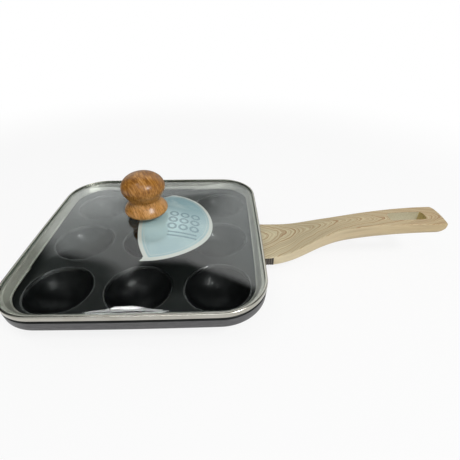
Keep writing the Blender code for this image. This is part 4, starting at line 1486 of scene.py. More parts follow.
@dataclass
class Grip:
    """The curved grip with its rebate, socket, screw pocket and hang slot."""

    wall_x: float = 113.7 * MM
    start_x: float = 114.1 * MM
    length: float = 184.0 * MM
    root_top: float = 22.7 * MM
    rise: float = 28.6 * MM
    lead_in: float = 63.6 * MM
    lead_out: float = 144.5 * MM
    widths: Triple = (59.4 * MM, 25.4 * MM, 33.4 * MM)
    waist: float = 90.0 * MM
    depths: Triple = (10.6 * MM, 15.4 * MM, 11.4 * MM)
    tip_depth: float = 5.6 * MM
    tip_length: float = 9.0 * MM
    top_round: float = 0.9 * MM
    root_round: float = 1.2 * MM
    belly_round: float = 3.8 * MM
    end_round: float = 0.6 * MM
    end_stretch: float = 6.0 * MM
    end_bow: float = 1.6 * MM
    bow_length: float = 12.0 * MM
    far_corner: float = 2.4 * MM
    slot_margin: float = 15.2 * MM
    slot_slack: float = 0.1 * MM
    tool_top: float = 80.0 * MM
    tool_bottom: float = -10.0 * MM
    rebate_x: float = 125.9 * MM
    rebate_top: float = 21.6 * MM
    rebate_reach: float = 8.0 * MM
    rebate_corner: float = 0.2 * MM
    screw_x: float = 140.3 * MM
    pocket_radius: float = 5.0 * MM
    pocket_top: float = 15.97 * MM
    print_turn: float = 2.0 * MM
    stations: int = 150

    @property
    def end_x(self) -> float:
        """Return where the grip ends."""
        return self.wall_x + self.length

    @property
    def slot(self) -> HangSlot:
        """Return the hang slot, which ends a margin before the grip does."""
        return HangSlot(self.end_x - self.slot_margin)

    def eased(self, x: np.ndarray, values: Triple) -> np.ndarray:
        """Return a size that eases from its root value to its waist value to its end value.

        Args:
            x: Places along the grip.
            values: Sizes at the root, the waist and the end.

        Returns:
            The size at each place.
        """
        root, narrow, end = values
        waist = self.wall_x + self.waist
        first = root + (narrow - root) * ease(share_between(x, self.start_x, waist))
        second = narrow + (end - narrow) * ease(share_between(x, waist, self.end_x))
        return np.where(x < waist, first, second)

    def top(self, x: np.ndarray) -> np.ndarray:
        """Return the top face's height: a cubic curve that leaves and arrives level.

        Args:
            x: Places along the grip.

        Returns:
            Heights.
        """
        share = np.linspace(0.0, 1.0, 2001)
        rest = 1 - share
        weights = np.stack([rest ** 3, 3 * rest * rest * share, 3 * rest * share * share, share ** 3])
        along = np.array([self.start_x, self.start_x + self.lead_in,
                          self.end_x - self.lead_out, self.end_x])
        high = self.root_top + np.array([0.0, 0.0, self.rise, self.rise])
        return np.interp(x, along @ weights, high @ weights)

    def depth(self, x: np.ndarray) -> np.ndarray:
        """Return the depth, which shrinks by a quarter ellipse at the tip.

        Args:
            x: Places along the grip.

        Returns:
            Depths.
        """
        tip = np.clip((x - (self.end_x - self.tip_length)) / self.tip_length, 0.0, 1.0)
        loss = (self.depths[2] - self.tip_depth) * (1 - np.sqrt(1 - tip * tip))
        return self.eased(x, self.depths) - loss

    def section(self, x: float, shrink: float) -> np.ndarray:
        """Return one cross-section as points of Y and Z.

        Args:
            x: Where along the grip.
            shrink: How much smaller the section is all round, for the end's rounded edge.

        Returns:
            A closed loop: underside, side, top, side, each corner an arc.
        """
        half = float(self.eased(np.array(x), self.widths)) / 2 - shrink
        high = float(self.top(np.array(x))) - shrink
        low = high - float(self.depth(np.array(x))) + 2 * shrink
        crisp = self.top_round
        share = float(ease(np.array((x - self.start_x) / self.waist)))
        belly = self.root_round + (self.belly_round - self.root_round) * share
        belly = min(belly, (high - low - crisp) * 0.7)
        right = join(arc((half - belly, low + belly), belly, -90, 0, 7),
                     span((half, low + belly), (half, high - crisp), 4)[1:-1],
                     arc((half - crisp, high - crisp), crisp, 0, 90, 5))
        left = right[::-1] * np.array([-1.0, 1.0])
        top = span(tuple(right[-1]), tuple(left[0]), 24)[1:-1]
        under = span(tuple(left[-1]), tuple(right[0]), 12)[1:-1]
        return np.concatenate([right, top, left, under])

    def bar(self) -> np.ndarray:
        """Return the uncut grip as rows of sections, its end rounded and bowed.

        Near the end each point moves out by the bow times one minus its squared share of the half
        width. Toward the far corner it moves back by the eighth power of that share.

        Returns:
            A grid of sections by points by 3.
        """
        turn = np.radians(np.linspace(0.0, 90.0, 9))[1:]
        even = np.linspace(self.start_x, self.end_x - self.end_stretch, self.stations)
        near = np.linspace(self.end_x - self.end_stretch, self.end_x - self.end_round, 20)[1:]
        last = self.end_x - self.end_round * (1 - np.sin(turn))
        places = np.concatenate([even, near, last])
        straight = np.zeros(len(even) + len(near))
        shrinks = np.concatenate([straight, self.end_round * (1 - np.cos(turn))])
        grid = np.stack([stand_across(self.section(x, shrink), x) for x, shrink in zip(places, shrinks)])
        side = grid[..., 1] / (self.eased(grid[..., 0], self.widths) / 2)
        share = (grid[..., 0] - (self.end_x - self.bow_length)) / self.bow_length
        back = self.far_corner * np.maximum(side, 0.0) ** 8
        grid[..., 0] += np.clip(share, 0.0, 1.0) ** 2 * (self.end_bow * (1 - side ** 2) - back)
        return grid

    def build(self) -> Piece:
        """Build the grip and cut its rebate, screw pocket and hang slot.

        Returns:
            The object.
        """
        piece = capped_piece("look_handle_grip", self.bar(), 40.0)
        corner = rounded_rectangle(self.rebate_reach, self.widths[0], self.rebate_corner, 2, 1)
        step = corner + np.array([self.rebate_x - self.rebate_reach, 0.0])
        hole = circle_loop(self.pocket_radius, 48, (self.screw_x, 0.0))
        tools = [prism("rebate_tool", step, self.tool_bottom, self.rebate_top),
                 prism("pocket_tool", hole, self.tool_bottom, self.pocket_top),
                 prism("slot_tool", self.slot.loop(), 0.0, self.tool_top)]
        cut(piece, tools, 40.0)
        return piece

    def dress(self, piece: Piece) -> None:
        """Print arches on the top and straight lines on the sides, leave the slot unprinted and paint its
        end wall dark as painted shade.

        The maps run along the grip in tenths of a metre. The side's other number is the depth
        below the top, moved on where the side turns into the underside.

        Args:
            piece: The grip.
        """
        points = vertex_places(piece)
        x = points[:, 0]
        along = (x - self.wall_x) / 0.1
        half = self.eased(x, self.widths) / 2
        lay_map(piece, "top_print", np.column_stack([along, points[:, 1] / half]))
        below = (self.top(x) - points[:, 2]) / self.depths[1]
        turned_under = np.abs(points[:, 1]) < half - self.print_turn
        lay_map(piece, "side_print", np.column_stack([along, below + 0.7 * turned_under]))
        normals, middles = face_values(piece, "normal"), face_values(piece, "center")
        in_slot = self.slot.holds(middles, self.slot_slack) & (np.abs(normals[:, 2]) < 0.2)
        # Painted shade: the slot's end wall takes a darker olive finish.
        shaded_end_wall = in_slot & (normals[:, 0] < -0.5)
        finish = np.select([shaded_end_wall, in_slot, normals[:, 2] < 0.45], [3, 2, 1], 0)
        materials = [
            PaleWood(GripFace.TOP, slot=self.slot).material(),
            # The sides' grounds and lines are lighter than the top's as painted light; their straight
            # lines are print.
            PaleWood(GripFace.SIDE, line=(0.40, 0.26, 0.12), grounds=(
                (0.80, 0.685, 0.455), (0.67, 0.55, 0.35), (0.61, 0.47, 0.26))).material(),
            Plain("slot_wall", (0.55, 0.50, 0.34), (0.645, 0.595, 0.42), 0.45).material(),
            Plain("slot_end_wall_shade", (0.45, 0.34, 0.115), (0.56, 0.44, 0.17), 0.45).material()]
        place(piece, Body.PAN, Slot.PALE_WOOD, materials, finish)


@dataclass
class Fastener:
    """A washer and the cross-head screw that bears on it from below.

    The crown is the head's rounded share. The cross has a half length, a half width and a depth,
    all as shares of the head's radius.
    """

    centre: Pair
    washer_radius: float
    washer_top: float
    washer_thickness: float
    head_radius: float
    head_height: float
    seat: float
    tip: float
    shank_radius: float = 2.4 * MM
    hole_radius: float = 2.7 * MM
    washer_edge: float = 0.12 * MM
    crown: float = 0.45
    cross: Triple = (0.55, 0.14, 0.28)
    segments: int = 48

    def washer(self, name: str) -> Piece:
        """Build the washer, a ring with softened outer edges.

        Args:
            name: Name of the object.

        Returns:
            The object.
        """
        ring = ring_section(self.hole_radius, self.washer_radius, self.washer_top - self.washer_thickness,
                            self.washer_top, self.washer_edge)
        return ring_piece(name, turned(ring, self.segments, self.centre), 50.0)

    def screw(self, name: str) -> Piece:
        """Build the screw: domed head, plain shank and tapered tip, with its cross recess cut.

        Args:
            name: Name of the object.

        Returns:
            The object.
        """
        bottom = self.seat - self.head_height
        wide, high = self.crown * self.head_radius, self.crown * self.head_height
        quarter = arc((0.0, 0.0), 1.0, 270, 360, 8) * np.array([wide, high])
        crown = np.array([self.head_radius - wide, bottom + high]) + quarter
        taper = 0.4 * self.shank_radius
        profile = join(np.array((0.1 * self.head_radius, bottom)), crown,
                       np.array((self.head_radius, self.seat)), np.array((self.shank_radius, self.seat)),
                       np.array((self.shank_radius, self.tip - taper)),
                       np.array((self.shank_radius - taper, self.tip)))
        piece = capped_piece(name, turned(profile, self.segments, self.centre), 35.0,
                             np.array([*self.centre, bottom]), np.array([*self.centre, self.tip]))
        arm, thin, depth = (share * self.head_radius for share in self.cross)
        upper = np.array([(arm, thin), (thin, thin), (thin, arm),
                          (-thin, arm), (-thin, thin), (-arm, thin)])
        cross = np.concatenate([upper, -upper]) + np.asarray(self.centre)
        cut(piece, [prism(name + "_recess", cross, bottom - depth, bottom + depth)], 35.0)
        return piece

    def build_and_dress(self, owner: str, body: Body, steel: str) -> None:
        """Build the washer and the screw and finish them in steel.

        Args:
            owner: The piece that they fasten, the first word of their names.
            body: The body that they ride on.
            steel: Name of their material.
        """
        material = Steel(steel, line_scale=(700.0, 700.0, 700.0), roughness=0.24).material()
        place(self.washer(f"look_{owner}_washer"), body, Slot.STAINLESS, [material])
        place(self.screw(f"look_{owner}_screw"), body, Slot.STAINLESS, [material])


# Lid


@dataclass
class LidRim:
    """The pressed steel rim: outer wall, rolled lip, ledge and slanted skirt."""

    outline: Outline
    bottom: float = 33.3 * MM
    top: float = 39.0 * MM
    sheet: float = 0.8 * MM
    lip_width: float = 2.3 * MM
    lip_bottom: float = 38.15 * MM
    foot_round: float = 2.3 * MM
    bead_radius: float = 1.9 * MM
    bead_power: float = 2.6
    edge_radius: float = 0.35 * MM
    ledge_end: float = 5.6 * MM
    hem: Pair = (8.8 * MM, 27.9 * MM)
    hem_radius: float = 0.9 * MM
    hem_lift: float = 0.5 * MM
    bend_radius: float = 1.2 * MM
    slack: float = 0.1 * MM
    bright_depth: float = 1.5 * MM

    def bead(self) -> np.ndarray:
        """Return the lip's outer bead, a quarter of a curve between a circle and a square.

        With a turn from 0 to 90 degrees it is radius * (cos, sin) ** (2 / power) off its middle.

        Returns:
            Points of inset and height.
        """
        turn = np.radians(np.linspace(0.0, 90.0, 17))
        quarter = np.stack([-np.cos(turn), np.sin(turn)], axis=-1)
        quarter = np.sign(quarter) * np.abs(quarter) ** (2 / self.bead_power)
        return np.array([self.bead_radius, self.top - self.bead_radius]) + self.bead_radius * quarter

    @property
    def slant(self) -> float:
        """Return the skirt's slope in radians."""
        return math.atan2(self.bottom + self.sheet - self.hem[1], self.hem[0] - self.ledge_end)

    @property
    def hem_middle(self) -> np.ndarray:
        """Return the middle of the rolled hem, lifted off the skirt's own line."""
        return np.array(self.hem) + self.hem_lift * np.array([math.sin(self.slant), math.cos(self.slant)])

    def profile(self) -> np.ndarray:
        """Return the section as inset and height, a closed loop.

        It starts at the outer wall's round foot and goes up the wall, round the bead, back under
        the lip, down the channel, along the ledge, down the slanted skirt, round its hem and back
        along the skirt's underside.

        Returns:
            Points of inset and height.
        """
        ledge = self.bottom + self.sheet
        end = self.lip_width - self.edge_radius
        foot = arc((self.foot_round, self.bottom + self.foot_round), self.foot_round, 268, 180, 12)
        inner = arc((end, self.top - self.edge_radius), self.edge_radius, 90, -12, 6)
        channel = np.array([(end, self.lip_bottom), (self.sheet, self.lip_bottom), (self.sheet, ledge)])
        turn = math.degrees(self.slant)
        pull = self.bend_radius * math.tan(self.slant / 2)
        bend = arc((self.ledge_end - pull, ledge - self.bend_radius), self.bend_radius, 90, 90 - turn, 6)
        meet = math.degrees(math.acos(1 - self.hem_lift / self.hem_radius))
        roll = arc(tuple(self.hem_middle), self.hem_radius, 90 - turn + meet, -90 - turn, 16)
        normal = np.array([math.sin(self.slant), math.cos(self.slant)]) * self.sheet
        under = np.array([np.array(self.hem) - normal * 0.55,
                          (self.ledge_end - pull - self.slack, self.bottom)])
        return join(foot, self.bead(), inner, channel, bend, roll, under)

    def build(self) -> Piece:
        """Build the rim by carrying its section round the outline."""
        return ring_piece("look_lid_rim", self.outline.sweep(self.profile()), 38.0)

    def dress(self, piece: Piece) -> None:
        """Finish it as steel: ledge and skirt brushed duller, far side painted shade, hem a painted
        highlight.

        Args:
            piece: The rim.
        """
        brushed = Steel("brushed_steel", (0.51, 0.50, 0.445), (0.45, 0.44, 0.39), 0.48, far_shade=0.42)
        # Painted highlight: the hem takes a paler steel; both under-lip steels get far-side painted
        # shade.
        paler = Steel("hem_highlight_steel", (0.68, 0.67, 0.60), (0.62, 0.61, 0.54), 0.42, far_shade=0.50)
        middles = face_values(piece, "center")
        inset = self.outline.inset(middles)
        past_wall = inset > self.sheet + self.slack
        below_lip = past_wall & (middles[:, 2] < self.top - self.bright_depth)
        from_hem = np.hypot(inset - self.hem_middle[0], middles[:, 2] - self.hem_middle[1])
        on_hem = from_hem < 1.1 * self.hem_radius
        finish = np.select([below_lip & on_hem, below_lip], [2, 1], 0)
        steels = [made.material() for made in (Steel(), brushed, paler)]
        place(piece, Body.LID, Slot.STAINLESS, steels, finish)


@dataclass
class LidGlass:
    """The domed glass: square with round corners at its edge, round toward the knob."""

    outline: Outline
    edge_bottom: float = 34.4 * MM
    thickness: float = 3.5 * MM
    rise: float = 21.7 * MM
    inset: float = 1.2 * MM
    land: float = 3.4 * MM
    power: float = 2.1
    hole_radius: float = 4.0 * MM
    softness: float = 0.5 * MM
    edge_band: float = 2.9 * MM
    edge_fade: float = 0.7 * MM
    rings: int = 90
    land_rings: int = 30

    def surface(self, lift: float) -> np.ndarray:
        """Return one face of the glass, from its hole to its edge.

        A ring's size runs from the hole to 1 at the dome's foot. Its loop is size times a mix of
        the outline and a circle, with more of the outline as the size grows. Its rise is
        rise * (1 - size ** power), and outside the foot it goes on falling at the foot's slope.
        Half of (rise + root(rise squared + softness squared)) rounds it into the flat land.

        Args:
            lift: Height above the glass's lowest face.

        Returns:
            A grid of rings by points by 3.
        """
        foot = self.inset + self.land
        reach = self.outline.side / 2 - foot
        hole = self.hole_radius / reach
        edge = self.outline.loop(foot)
        circle = edge / np.linalg.norm(edge, axis=1, keepdims=True) * reach
        size = np.linspace(hole, 1.0, self.rings)[:, None, None]
        square = (size - hole) / (1 - hole)
        dome = (edge * square + circle * (1 - square)) * size
        outward = np.linspace(0.0, self.land, self.land_rings + 1)[1:]
        land = np.stack([self.outline.loop(foot - distance) for distance in outward])
        dome_rise = self.rise * (1 - size[:, 0, 0] ** self.power)
        slope = self.rise * self.power / reach
        raw = np.concatenate([dome_rise, -slope * outward])
        height = self.edge_bottom + lift + (raw + np.sqrt(raw * raw + self.softness ** 2)) / 2
        height -= (np.sqrt(self.rise ** 2 + self.softness ** 2) - self.rise) / 2
        return at_heights(np.concatenate([dome, land]), height)

    def build(self) -> Piece:
        """Build the glass: upper face out, a rounded edge, lower face back to the hole."""
        faces = [self.surface(self.thickness), self.surface(0.0)[::-1]]
        return ring_piece("look_lid_glass", np.concatenate(faces), 50.0)

    def dress(self, piece: Piece) -> None:
        """Make it clear glass, greener toward its edge under the lip.

        Args:
            piece: The glass.
        """
        inset = self.outline.inset(vertex_places(piece))
        lay_mask(piece, "edge", 1 - ease((inset - self.edge_band) / self.edge_fade))
        place(piece, Body.LID, Slot.GLASS, [ClearGlass().material()])


@dataclass
class Knob:
    """The turned wooden knob: base, neck and ball, with a blind bore from below."""

    foot: float = 61.4 * MM
    foot_radius: float = 15.6 * MM
    base_radius: float = 20.8 * MM
    neck_radius: float = 15.0 * MM
    ball_radius: float = 20.6 * MM
    base_height: float = 3.8 * MM
    neck_height: float = 14.6 * MM
    ball_height: float = 27.1 * MM
    ball_rise: float = 13.9 * MM
    swell_power: float = 1.35
    bore_radius: float = 4.7 * MM
    bore_depth: float = 13.2 * MM
    foot_edge: float = 0.6 * MM
    segments: int = 128

    def profile(self) -> np.ndarray:
        """Return the section as radius and height, from the bore's edge to near the crown.

        The base bulges over a quarter sine, the waist falls over half a cosine wave, the neck
        swells as a power of a sine, and the ball closes as a quarter ellipse.

        Returns:
            Points of radius and height.
        """
        widest, neck, ball = (self.foot + height for height in
                              (self.base_height, self.neck_height, self.ball_height))
        turn = np.radians(np.linspace(0.0, 90.0, 12))
        base = np.column_stack([
            self.foot_radius + (self.base_radius - self.foot_radius) * np.sin(turn),
            widest - self.base_height * np.cos(turn)])
        share = np.linspace(0.0, 1.0, 28)
        waist = np.column_stack([
            self.base_radius + (self.neck_radius - self.base_radius) * ease(share),
            widest + (neck - widest) * share])
        swell = np.sin(np.pi / 2 * share) ** self.swell_power
        upper = np.column_stack([
            self.neck_radius + (self.ball_radius - self.neck_radius) * swell,
            neck + (ball - neck) * share])
        turn = np.radians(np.linspace(0.0, 87.5, 34))
        crown = np.column_stack([self.ball_radius * np.cos(turn), ball + self.ball_rise * np.sin(turn)])
        bore = np.array([(self.bore_radius, self.foot + self.bore_depth), (self.bore_radius, self.foot)])
        flat = np.array([(self.foot_radius - self.foot_edge, self.foot)])
        return join(bore, flat, base, waist, upper, crown)

    def build(self) -> Piece:
        """Build the knob by turning its section.

        Returns:
            The object.
        """
        heights = (self.foot + self.bore_depth, self.foot + self.ball_height + self.ball_rise)
        poles = [np.array([0.0, 0.0, height]) for height in heights]
        return capped_piece("look_knob", turned(self.profile(), self.segments), 40.0, *poles)

    def dress(self, piece: Piece) -> None:
        """Finish it as varnished wood."""
        place(piece, Body.LID, Slot.VARNISHED_WOOD, [VarnishedWood().material()])


@dataclass
class KnobClamp:
    """What clamps the knob to the glass: insert, gaskets, washer and screw."""

    hole_radius: float = 2.7 * MM
    insert_radius: float = 4.4 * MM
    insert_span: Pair = (62.0 * MM, 74.0 * MM)
    upper_gasket: Triple = (14.0 * MM, 59.9 * MM, 61.1 * MM)
    lower_gasket: Triple = (9.0 * MM, 54.6 * MM, 55.8 * MM)
    ring_edge: float = 0.18 * MM
    segments: int = 96
    fastener: Fastener = field(default_factory=lambda: Fastener(
        centre=(0.0, 0.0), washer_radius=8.5 * MM, washer_top=53.6 * MM, washer_thickness=1.0 * MM,
        head_radius=4.6 * MM, head_height=2.6 * MM, seat=52.3 * MM, tip=73.7 * MM))

    def ring(self, name: str, radius: float, low: float, high: float,
             knurl: float = 0.0) -> Piece:
        """Build a ring with softened outer edges.

        Args:
            name: Name of the object.
            radius: Its outer radius.
            low: Height of its underside.
            high: Height of its top.
            knurl: Share of the radius by which every second point stands out.

        Returns:
            The object.
        """
        section = ring_section(self.hole_radius, radius, low, high, self.ring_edge)
        grid = turned(section, self.segments)
        ripple = 1 + knurl * np.cos(np.arange(self.segments) * np.pi)
        grid[2:4, :, :2] *= ripple[None, :, None]
        return ring_piece(name, grid, 45.0)

    def build_and_dress(self) -> None:
        """Build the small pieces and give each its finish."""
        rubber = Plain("grey_silicone", (0.060, 0.060, 0.062), (0.105, 0.105, 0.108), 0.6).material()
        brass = Plain("turned_brass", (0.58, 0.40, 0.15), (0.78, 0.58, 0.26), 0.28, 1.0).material()
        place(self.ring("look_knob_insert", self.insert_radius, *self.insert_span, knurl=0.02),
              Body.LID, Slot.BRASS, [brass])
        place(self.ring("look_knob_gasket", *self.upper_gasket), Body.LID, Slot.SILICONE, [rubber])
        place(self.ring("look_glass_gasket", *self.lower_gasket), Body.LID, Slot.SILICONE, [rubber])
        self.fastener.build_and_dress("knob", Body.LID, "small_steel")


@dataclass
class CareCard:
    """The round card under the glass, sagging from the screw, one side cut in a shallow curve."""

    radius: float = 59.5 * MM
    centre_x: float = 4.5 * MM
    thickness: float = 0.4 * MM
    top: float = 54.3 * MM
    sag: float = 9.6 * MM
    sag_power: float = 1.3
    flat_radius: float = 8.5 * MM
    hole_radius: float = 2.7 * MM
    cut: float = 6.3 * MM
    cut_slope: float = 0.21
    cut_bend: float = 6.8e-5 / MM ** 2
    front_lift: float = 1.2 * MM
    back_droop: float = 0.5 * MM
    knob_droop: float = 3.5 * MM
    end_droop: float = 4.6 * MM
    knob_side: Pair = (4.0 * MM, 20.0 * MM)
    tip_reach: float = 6.5 * MM
    tip_y: Pair = (-54.0 * MM, -59.0 * MM)
    tip_x: Pair = (6.0 * MM, 14.0 * MM)
    wave: float = 0.5 * MM
    wave_lengths: tuple[float, float, float, float] = (9.0 * MM, 13.0 * MM, 11.0 * MM, 17.0 * MM)
    rings: int = 60
    segments: int = 288

    def edge_distance(self, angle: np.ndarray) -> np.ndarray:
        """Return how far the edge is from the screw in each direction.

        The circle gives centre * cos + root(radius squared - (centre * sin) squared). The cut
        lies at x = -cut - slope * y behind the screw and x = -cut + bend * |y| cubed before it.
        Halving finds where a ray meets the cut, and the nearer of the two counts.

        Args:
            angle: Directions in radians.

        Returns:
            Distances.
        """
        circle = self.centre_x * np.cos(angle) + np.sqrt(
            self.radius ** 2 - (self.centre_x * np.sin(angle)) ** 2)
        low, high = np.zeros_like(angle), circle.copy()
        crossed = self.inside_cut(circle * np.cos(angle), circle * np.sin(angle)) < 0
        for _ in range(40):
            middle = (low + high) / 2
            kept = self.inside_cut(middle * np.cos(angle), middle * np.sin(angle)) >= 0
            low, high = np.where(kept, middle, low), np.where(kept, high, middle)
        return np.where(crossed, low, circle)

    def inside_cut(self, x: np.ndarray, y: np.ndarray) -> np.ndarray:
        """Return how far along X a point is inside the cut."""
        edge = np.where(y > 0, -self.cut - self.cut_slope * y, -self.cut + self.cut_bend * np.abs(y) ** 3)
        return x - edge

    def height(self, x: np.ndarray, y: np.ndarray) -> np.ndarray:
        """Return the card's upper face.

        A point's share is 0 at the washer's edge and 1 at the card's edge, on circles whose
        centre moves along X with the share. The card falls by sag * share ** power. The square
        of the share of Y lifts its front and lowers its back, most of all behind the knob, the
        fourth power of the share of X bends its right end down, and soft waves lower it away from
        the screw.

        Args:
            x: Places along X.
            y: Places along Y.

        Returns:
            Heights.
        """
        grow = self.radius - self.flat_radius
        a = grow ** 2 - self.centre_x ** 2
        b = self.flat_radius * grow + x * self.centre_x
        c = self.flat_radius ** 2 - x * x - y * y
        share = np.clip((-b + np.sqrt(np.maximum(b * b - a * c, 0.0))) / a, 0.0, None)
        behind = self.back_droop + self.knob_droop * (1 - ease(share_between(x, *self.knob_side)))
        bend = np.where(y < 0, self.front_lift, -behind) * (y / self.radius) ** 2
        bend = bend - self.end_droop * np.maximum(x / self.radius, 0.0) ** 4
        first, second, third, fourth = self.wave_lengths
        ripple = (np.sin(x / first + 1.2 * np.sin(y / second)) + np.sin(y / third - x / fourth)) / 2
        waves = self.wave * ease(share * 2.0) * (ripple - 1) / 2
        return self.top - self.sag * share ** self.sag_power + bend + waves

    def build(self) -> Piece:
        """Build the card as an upper and a lower face that meet at its edge and its hole.

        The front corner's tip is bent: points near it move left by the square of how far they
        are past a line across the corner.

        Returns:
            The object.
        """
        angle = np.linspace(0.0, 2 * np.pi, self.segments, endpoint=False)
        reach = self.edge_distance(angle)
        share = np.linspace(0.0, 1.0, self.rings)[:, None]
        distance = self.hole_radius + (reach[None, :] - self.hole_radius) * share
        x, y = distance * np.cos(angle), distance * np.sin(angle)
        z = self.height(x, y)
        past = np.clip(share_between(y, *self.tip_y), 0.0, 1.0) ** 2
        x = x - self.tip_reach * past * (1 - ease(share_between(x, *self.tip_x)))
        upper = np.stack([x, y, z], axis=-1)
        lower = np.stack([x, y, z - self.thickness], axis=-1)[::-1]
        return ring_piece("look_care_card", np.concatenate([upper, lower]), 60.0)

    def dress(self, piece: Piece) -> None:
        """Print it, with the distance to its edge as an attribute for the white border.

        Args:
            piece: The card.
        """
        points = vertex_places(piece)
        x, y = points[:, 0], points[:, 1]
        to_circle = self.radius - np.hypot(x - self.centre_x, y)
        slope = 3 * self.cut_bend * y * y
        to_cut = self.inside_cut(x, y) / np.sqrt(1 + np.where(y < 0, slope, self.cut_slope) ** 2)
        lay_mask(piece, "from_edge", np.minimum(to_circle, to_cut))
        place(piece, Body.LID, Slot.CARD, [CardPrint().material()])


# Studio


@dataclass(frozen=True)
class Lamp:
    """An oval soft box: its place, the point that it faces, its width and length, and its power."""

    name: str
    at: Triple
    toward: Triple
    size: Pair
    watts: float

    def build(self) -> None:
        """Add the lamp to the scene."""
        data = bpy.data.lights.new(self.name, "AREA")
        data.shape = "ELLIPSE"
        data.size, data.size_y = self.size
        data.energy = self.watts
        lamp = bpy.data.objects.new(self.name, data)
        lamp.location = self.at
        way = Vector(self.toward) - Vector(self.at)
        lamp.rotation_euler = way.to_track_quat("-Z", "Y").to_euler()
        bpy.context.scene.collection.objects.link(lamp)


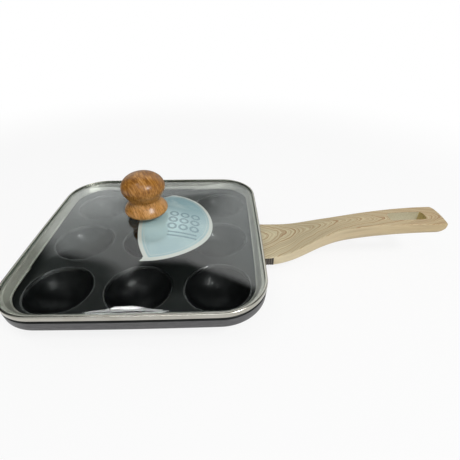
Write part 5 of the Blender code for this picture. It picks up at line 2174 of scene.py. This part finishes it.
@dataclass
class Studio:
    """Pale floor, plain surround, soft lamps and the camera."""

    camera_place: Triple = (0.07723, -0.27477, 0.23182)
    pitch: float = 0.61852117
    yaw: float = -0.01896895
    roll: float = -0.00377890
    focal_pixels: float = 322.68358
    picture_side: int = 460
    sensor_width: float = 36.0
    floor_rings: Triple = (0.4, 1.2, 4.0)
    floor_drop: float = 0.02 * MM
    paper: Colour = (0.86, 0.86, 0.86)
    pale: Colour = (1.0, 1.0, 1.0)
    far_gloss: Colour = (0.22, 0.23, 0.22)
    scattered: Colour = (0.36, 0.36, 0.36)
    room: tuple[tuple[float, Colour], ...] = (
        (0.00, (0.50, 0.52, 0.51)), (0.24, (0.66, 0.69, 0.68)), (0.50, (0.84, 0.88, 0.87)),
        (0.68, (0.95, 0.98, 0.96)), (0.90, (1.0, 1.0, 1.0)))
    unlit: Colour = (0.012, 0.014, 0.013)
    room_level: float = 1.3
    lamps: tuple[Lamp, ...] = (
        Lamp("overhead_lamp", (-0.315, -0.145, 1.08), (-0.315, -0.145, 0.0), (0.36, 0.05), 0.80),
        Lamp("fill_lamp", (0.0, -0.50, 1.15), (0.0, 0.0, 0.0), (0.50, 0.30), 0.9),
        Lamp("front_lamp", (0.78, -0.77, 1.25), (0.05, 0.0, 0.04), (0.40, 0.40), 12.5))

    def build_camera(self) -> None:
        """Place the camera.

        It looks along cos pitch * ahead - sin pitch * up, where ahead is +Y turned by the yaw,
        and its frame is then rolled about that line.
        """
        right = Vector((math.cos(self.yaw), math.sin(self.yaw), 0.0))
        ahead = Vector((-math.sin(self.yaw), math.cos(self.yaw), 0.0))
        up = Vector((0.0, 0.0, 1.0))
        look = ahead * math.cos(self.pitch) - up * math.sin(self.pitch)
        lift = ahead * math.sin(self.pitch) + up * math.cos(self.pitch)
        rolled_right = right * math.cos(self.roll) + lift * math.sin(self.roll)
        rolled_up = lift * math.cos(self.roll) - right * math.sin(self.roll)
        data = bpy.data.cameras.new("camera")
        data.sensor_width = self.sensor_width
        data.lens = self.focal_pixels * data.sensor_width / self.picture_side
        data.clip_start = 0.01
        camera = bpy.data.objects.new("camera", data)
        axes = Matrix((rolled_right, rolled_up, -look)).transposed()
        camera.matrix_world = Matrix.Translation(self.camera_place) @ axes.to_4x4()
        bpy.context.scene.collection.objects.link(camera)
        bpy.context.scene.camera = camera

    def build_floor(self) -> None:
        """Lay the floor, a wide round sheet that keeps the object's shadow on plain white."""
        grid = turned(np.array([(radius, -self.floor_drop) for radius in self.floor_rings]), 64)
        shell = Shell()
        shell.add_grid(grid)
        shell.add_fan(grid[0], np.array([0.0, 0.0, -self.floor_drop]))
        floor = shell.build("studio_floor", 32.0)
        material, graph = new_material("studio_floor")
        places = graph.places()
        _, depth, _ = graph.split(places)
        away = graph.vector_math("LENGTH", places)
        behind = graph.step(depth, -0.05, 0.15) * graph.ray(Ray.GLOSS)
        colour = graph.blend(behind, self.pale, self.far_gloss)
        paper = graph.node("ShaderNodeBsdfDiffuse", sockets={0: self.paper})
        glow = graph.node("ShaderNodeEmission", sockets={0: colour, 1: 1.0})
        share = 0.86 + 0.14 * graph.step(away, 0.4, 0.8)
        graph.surface(graph.node("ShaderNodeMixShader",
                                 sockets={0: self.seen(graph) * share, 1: paper, 2: glow}))
        floor.data.materials.append(material)

    @staticmethod
    def seen(graph: Graph) -> Signal:
        """Return 1 for rays of the camera, of gloss and through glass, and 0 for other light."""
        mirrored = graph.ray(Ray.GLOSS) + graph.ray(Ray.THROUGH)
        return graph.math("MINIMUM", graph.ray(Ray.CAMERA) + mirrored, 1.0)

    def room_colour(self, graph: Graph) -> Signal:
        """Return the colour that gloss finds in each direction of the room.

        The direction's height gives a pale colour. Light comes from ahead, from low down and from
        behind, and none from overhead or from the far left. It is weaker on the left, and weaker
        still straight ahead and in a band above the floor there.

        Args:
            graph: The world's graph.

        Returns:
            The colour.
        """
        right, ahead, up = graph.split(graph.node("ShaderNodeTexCoord", output="Generated"))
        left = -right
        nearer = 0.12 * graph.step(left, 0.22, 0.30)
        forward = graph.step(ahead - 0.20 * right + nearer, 0.385, 0.475)
        low = 1 - graph.step(up, 0.25, 0.50)
        behind = 1 - graph.step(ahead, -0.35, -0.15)
        far_left = graph.step(left, 0.25, 0.40) * (1 - graph.step(ahead + 0.95 * right, -0.05, 0.08))
        straight = (1 - graph.step(abs(right + 0.05), 0.15, 0.40)) * graph.step(ahead, 0.80, 0.90)
        band = (1 - graph.step(abs(right + 0.10), 0.20, 0.40)) * graph.step(up, 0.25, 0.35)
        straight = straight * 0.32 + band * graph.step(ahead, 0.78, 0.86) * 0.36
        weaker = graph.step(left, 0.10, 0.35) * (1 - graph.step(ahead, 0.74, 0.82))
        front = graph.math("MAXIMUM", forward, low) * (1 - far_left)
        lit = graph.math("MAXIMUM", front, behind) * (1 - 0.26 * weaker) * (1 - straight)
        return graph.blend(lit, self.unlit, graph.ramp(up, list(self.room)))

    def build_surround(self) -> None:
        """Set the world: white to the camera, even to scattered light, and a room to gloss."""
        world = bpy.data.worlds.new("surround")
        bpy.context.scene.world = world
        world.use_nodes = True
        graph = Graph(world.node_tree)
        room = self.room_colour(graph)
        camera = graph.ray(Ray.CAMERA)
        mirrored = graph.math("MINIMUM", graph.ray(Ray.GLOSS) + graph.ray(Ray.THROUGH), 1.0)
        colour = graph.blend(mirrored, self.scattered, room)
        colour = graph.blend(camera, colour, self.pale)
        level = 1 + (self.room_level - 1) * mirrored * (1 - camera)
        light = graph.node("ShaderNodeBackground", sockets={0: colour, 1: level})
        graph.node("ShaderNodeOutputWorld", sockets={"Surface": light})

    def build(self) -> None:
        """Build the whole studio and set the plain view."""
        self.build_camera()
        self.build_floor()
        self.build_surround()
        for lamp in self.lamps:
            lamp.build()
        bpy.context.scene.view_settings.view_transform = "Standard"


def main() -> None:
    """Build and dress every piece, then the studio."""
    logging.basicConfig(level=logging.INFO, format="%(name)s: %(message)s")
    outline = Outline()
    grip = Grip()
    for maker in (PanBody(outline), FlameGuard(), grip, LidRim(outline), LidGlass(outline), Knob(),
                  CareCard()):
        maker.dress(maker.build())
    handle_fastener = Fastener(
        centre=(grip.screw_x, 0.0), washer_radius=4.6 * MM, washer_top=15.67 * MM,
        washer_thickness=0.7 * MM, head_radius=4.2 * MM, head_height=1.7 * MM, seat=14.67 * MM,
        tip=22.5 * MM)
    handle_fastener.build_and_dress("handle", Body.PAN, "handle_steel")
    KnobClamp().build_and_dress()
    Studio().build()


if __name__ == "__main__":
    main()
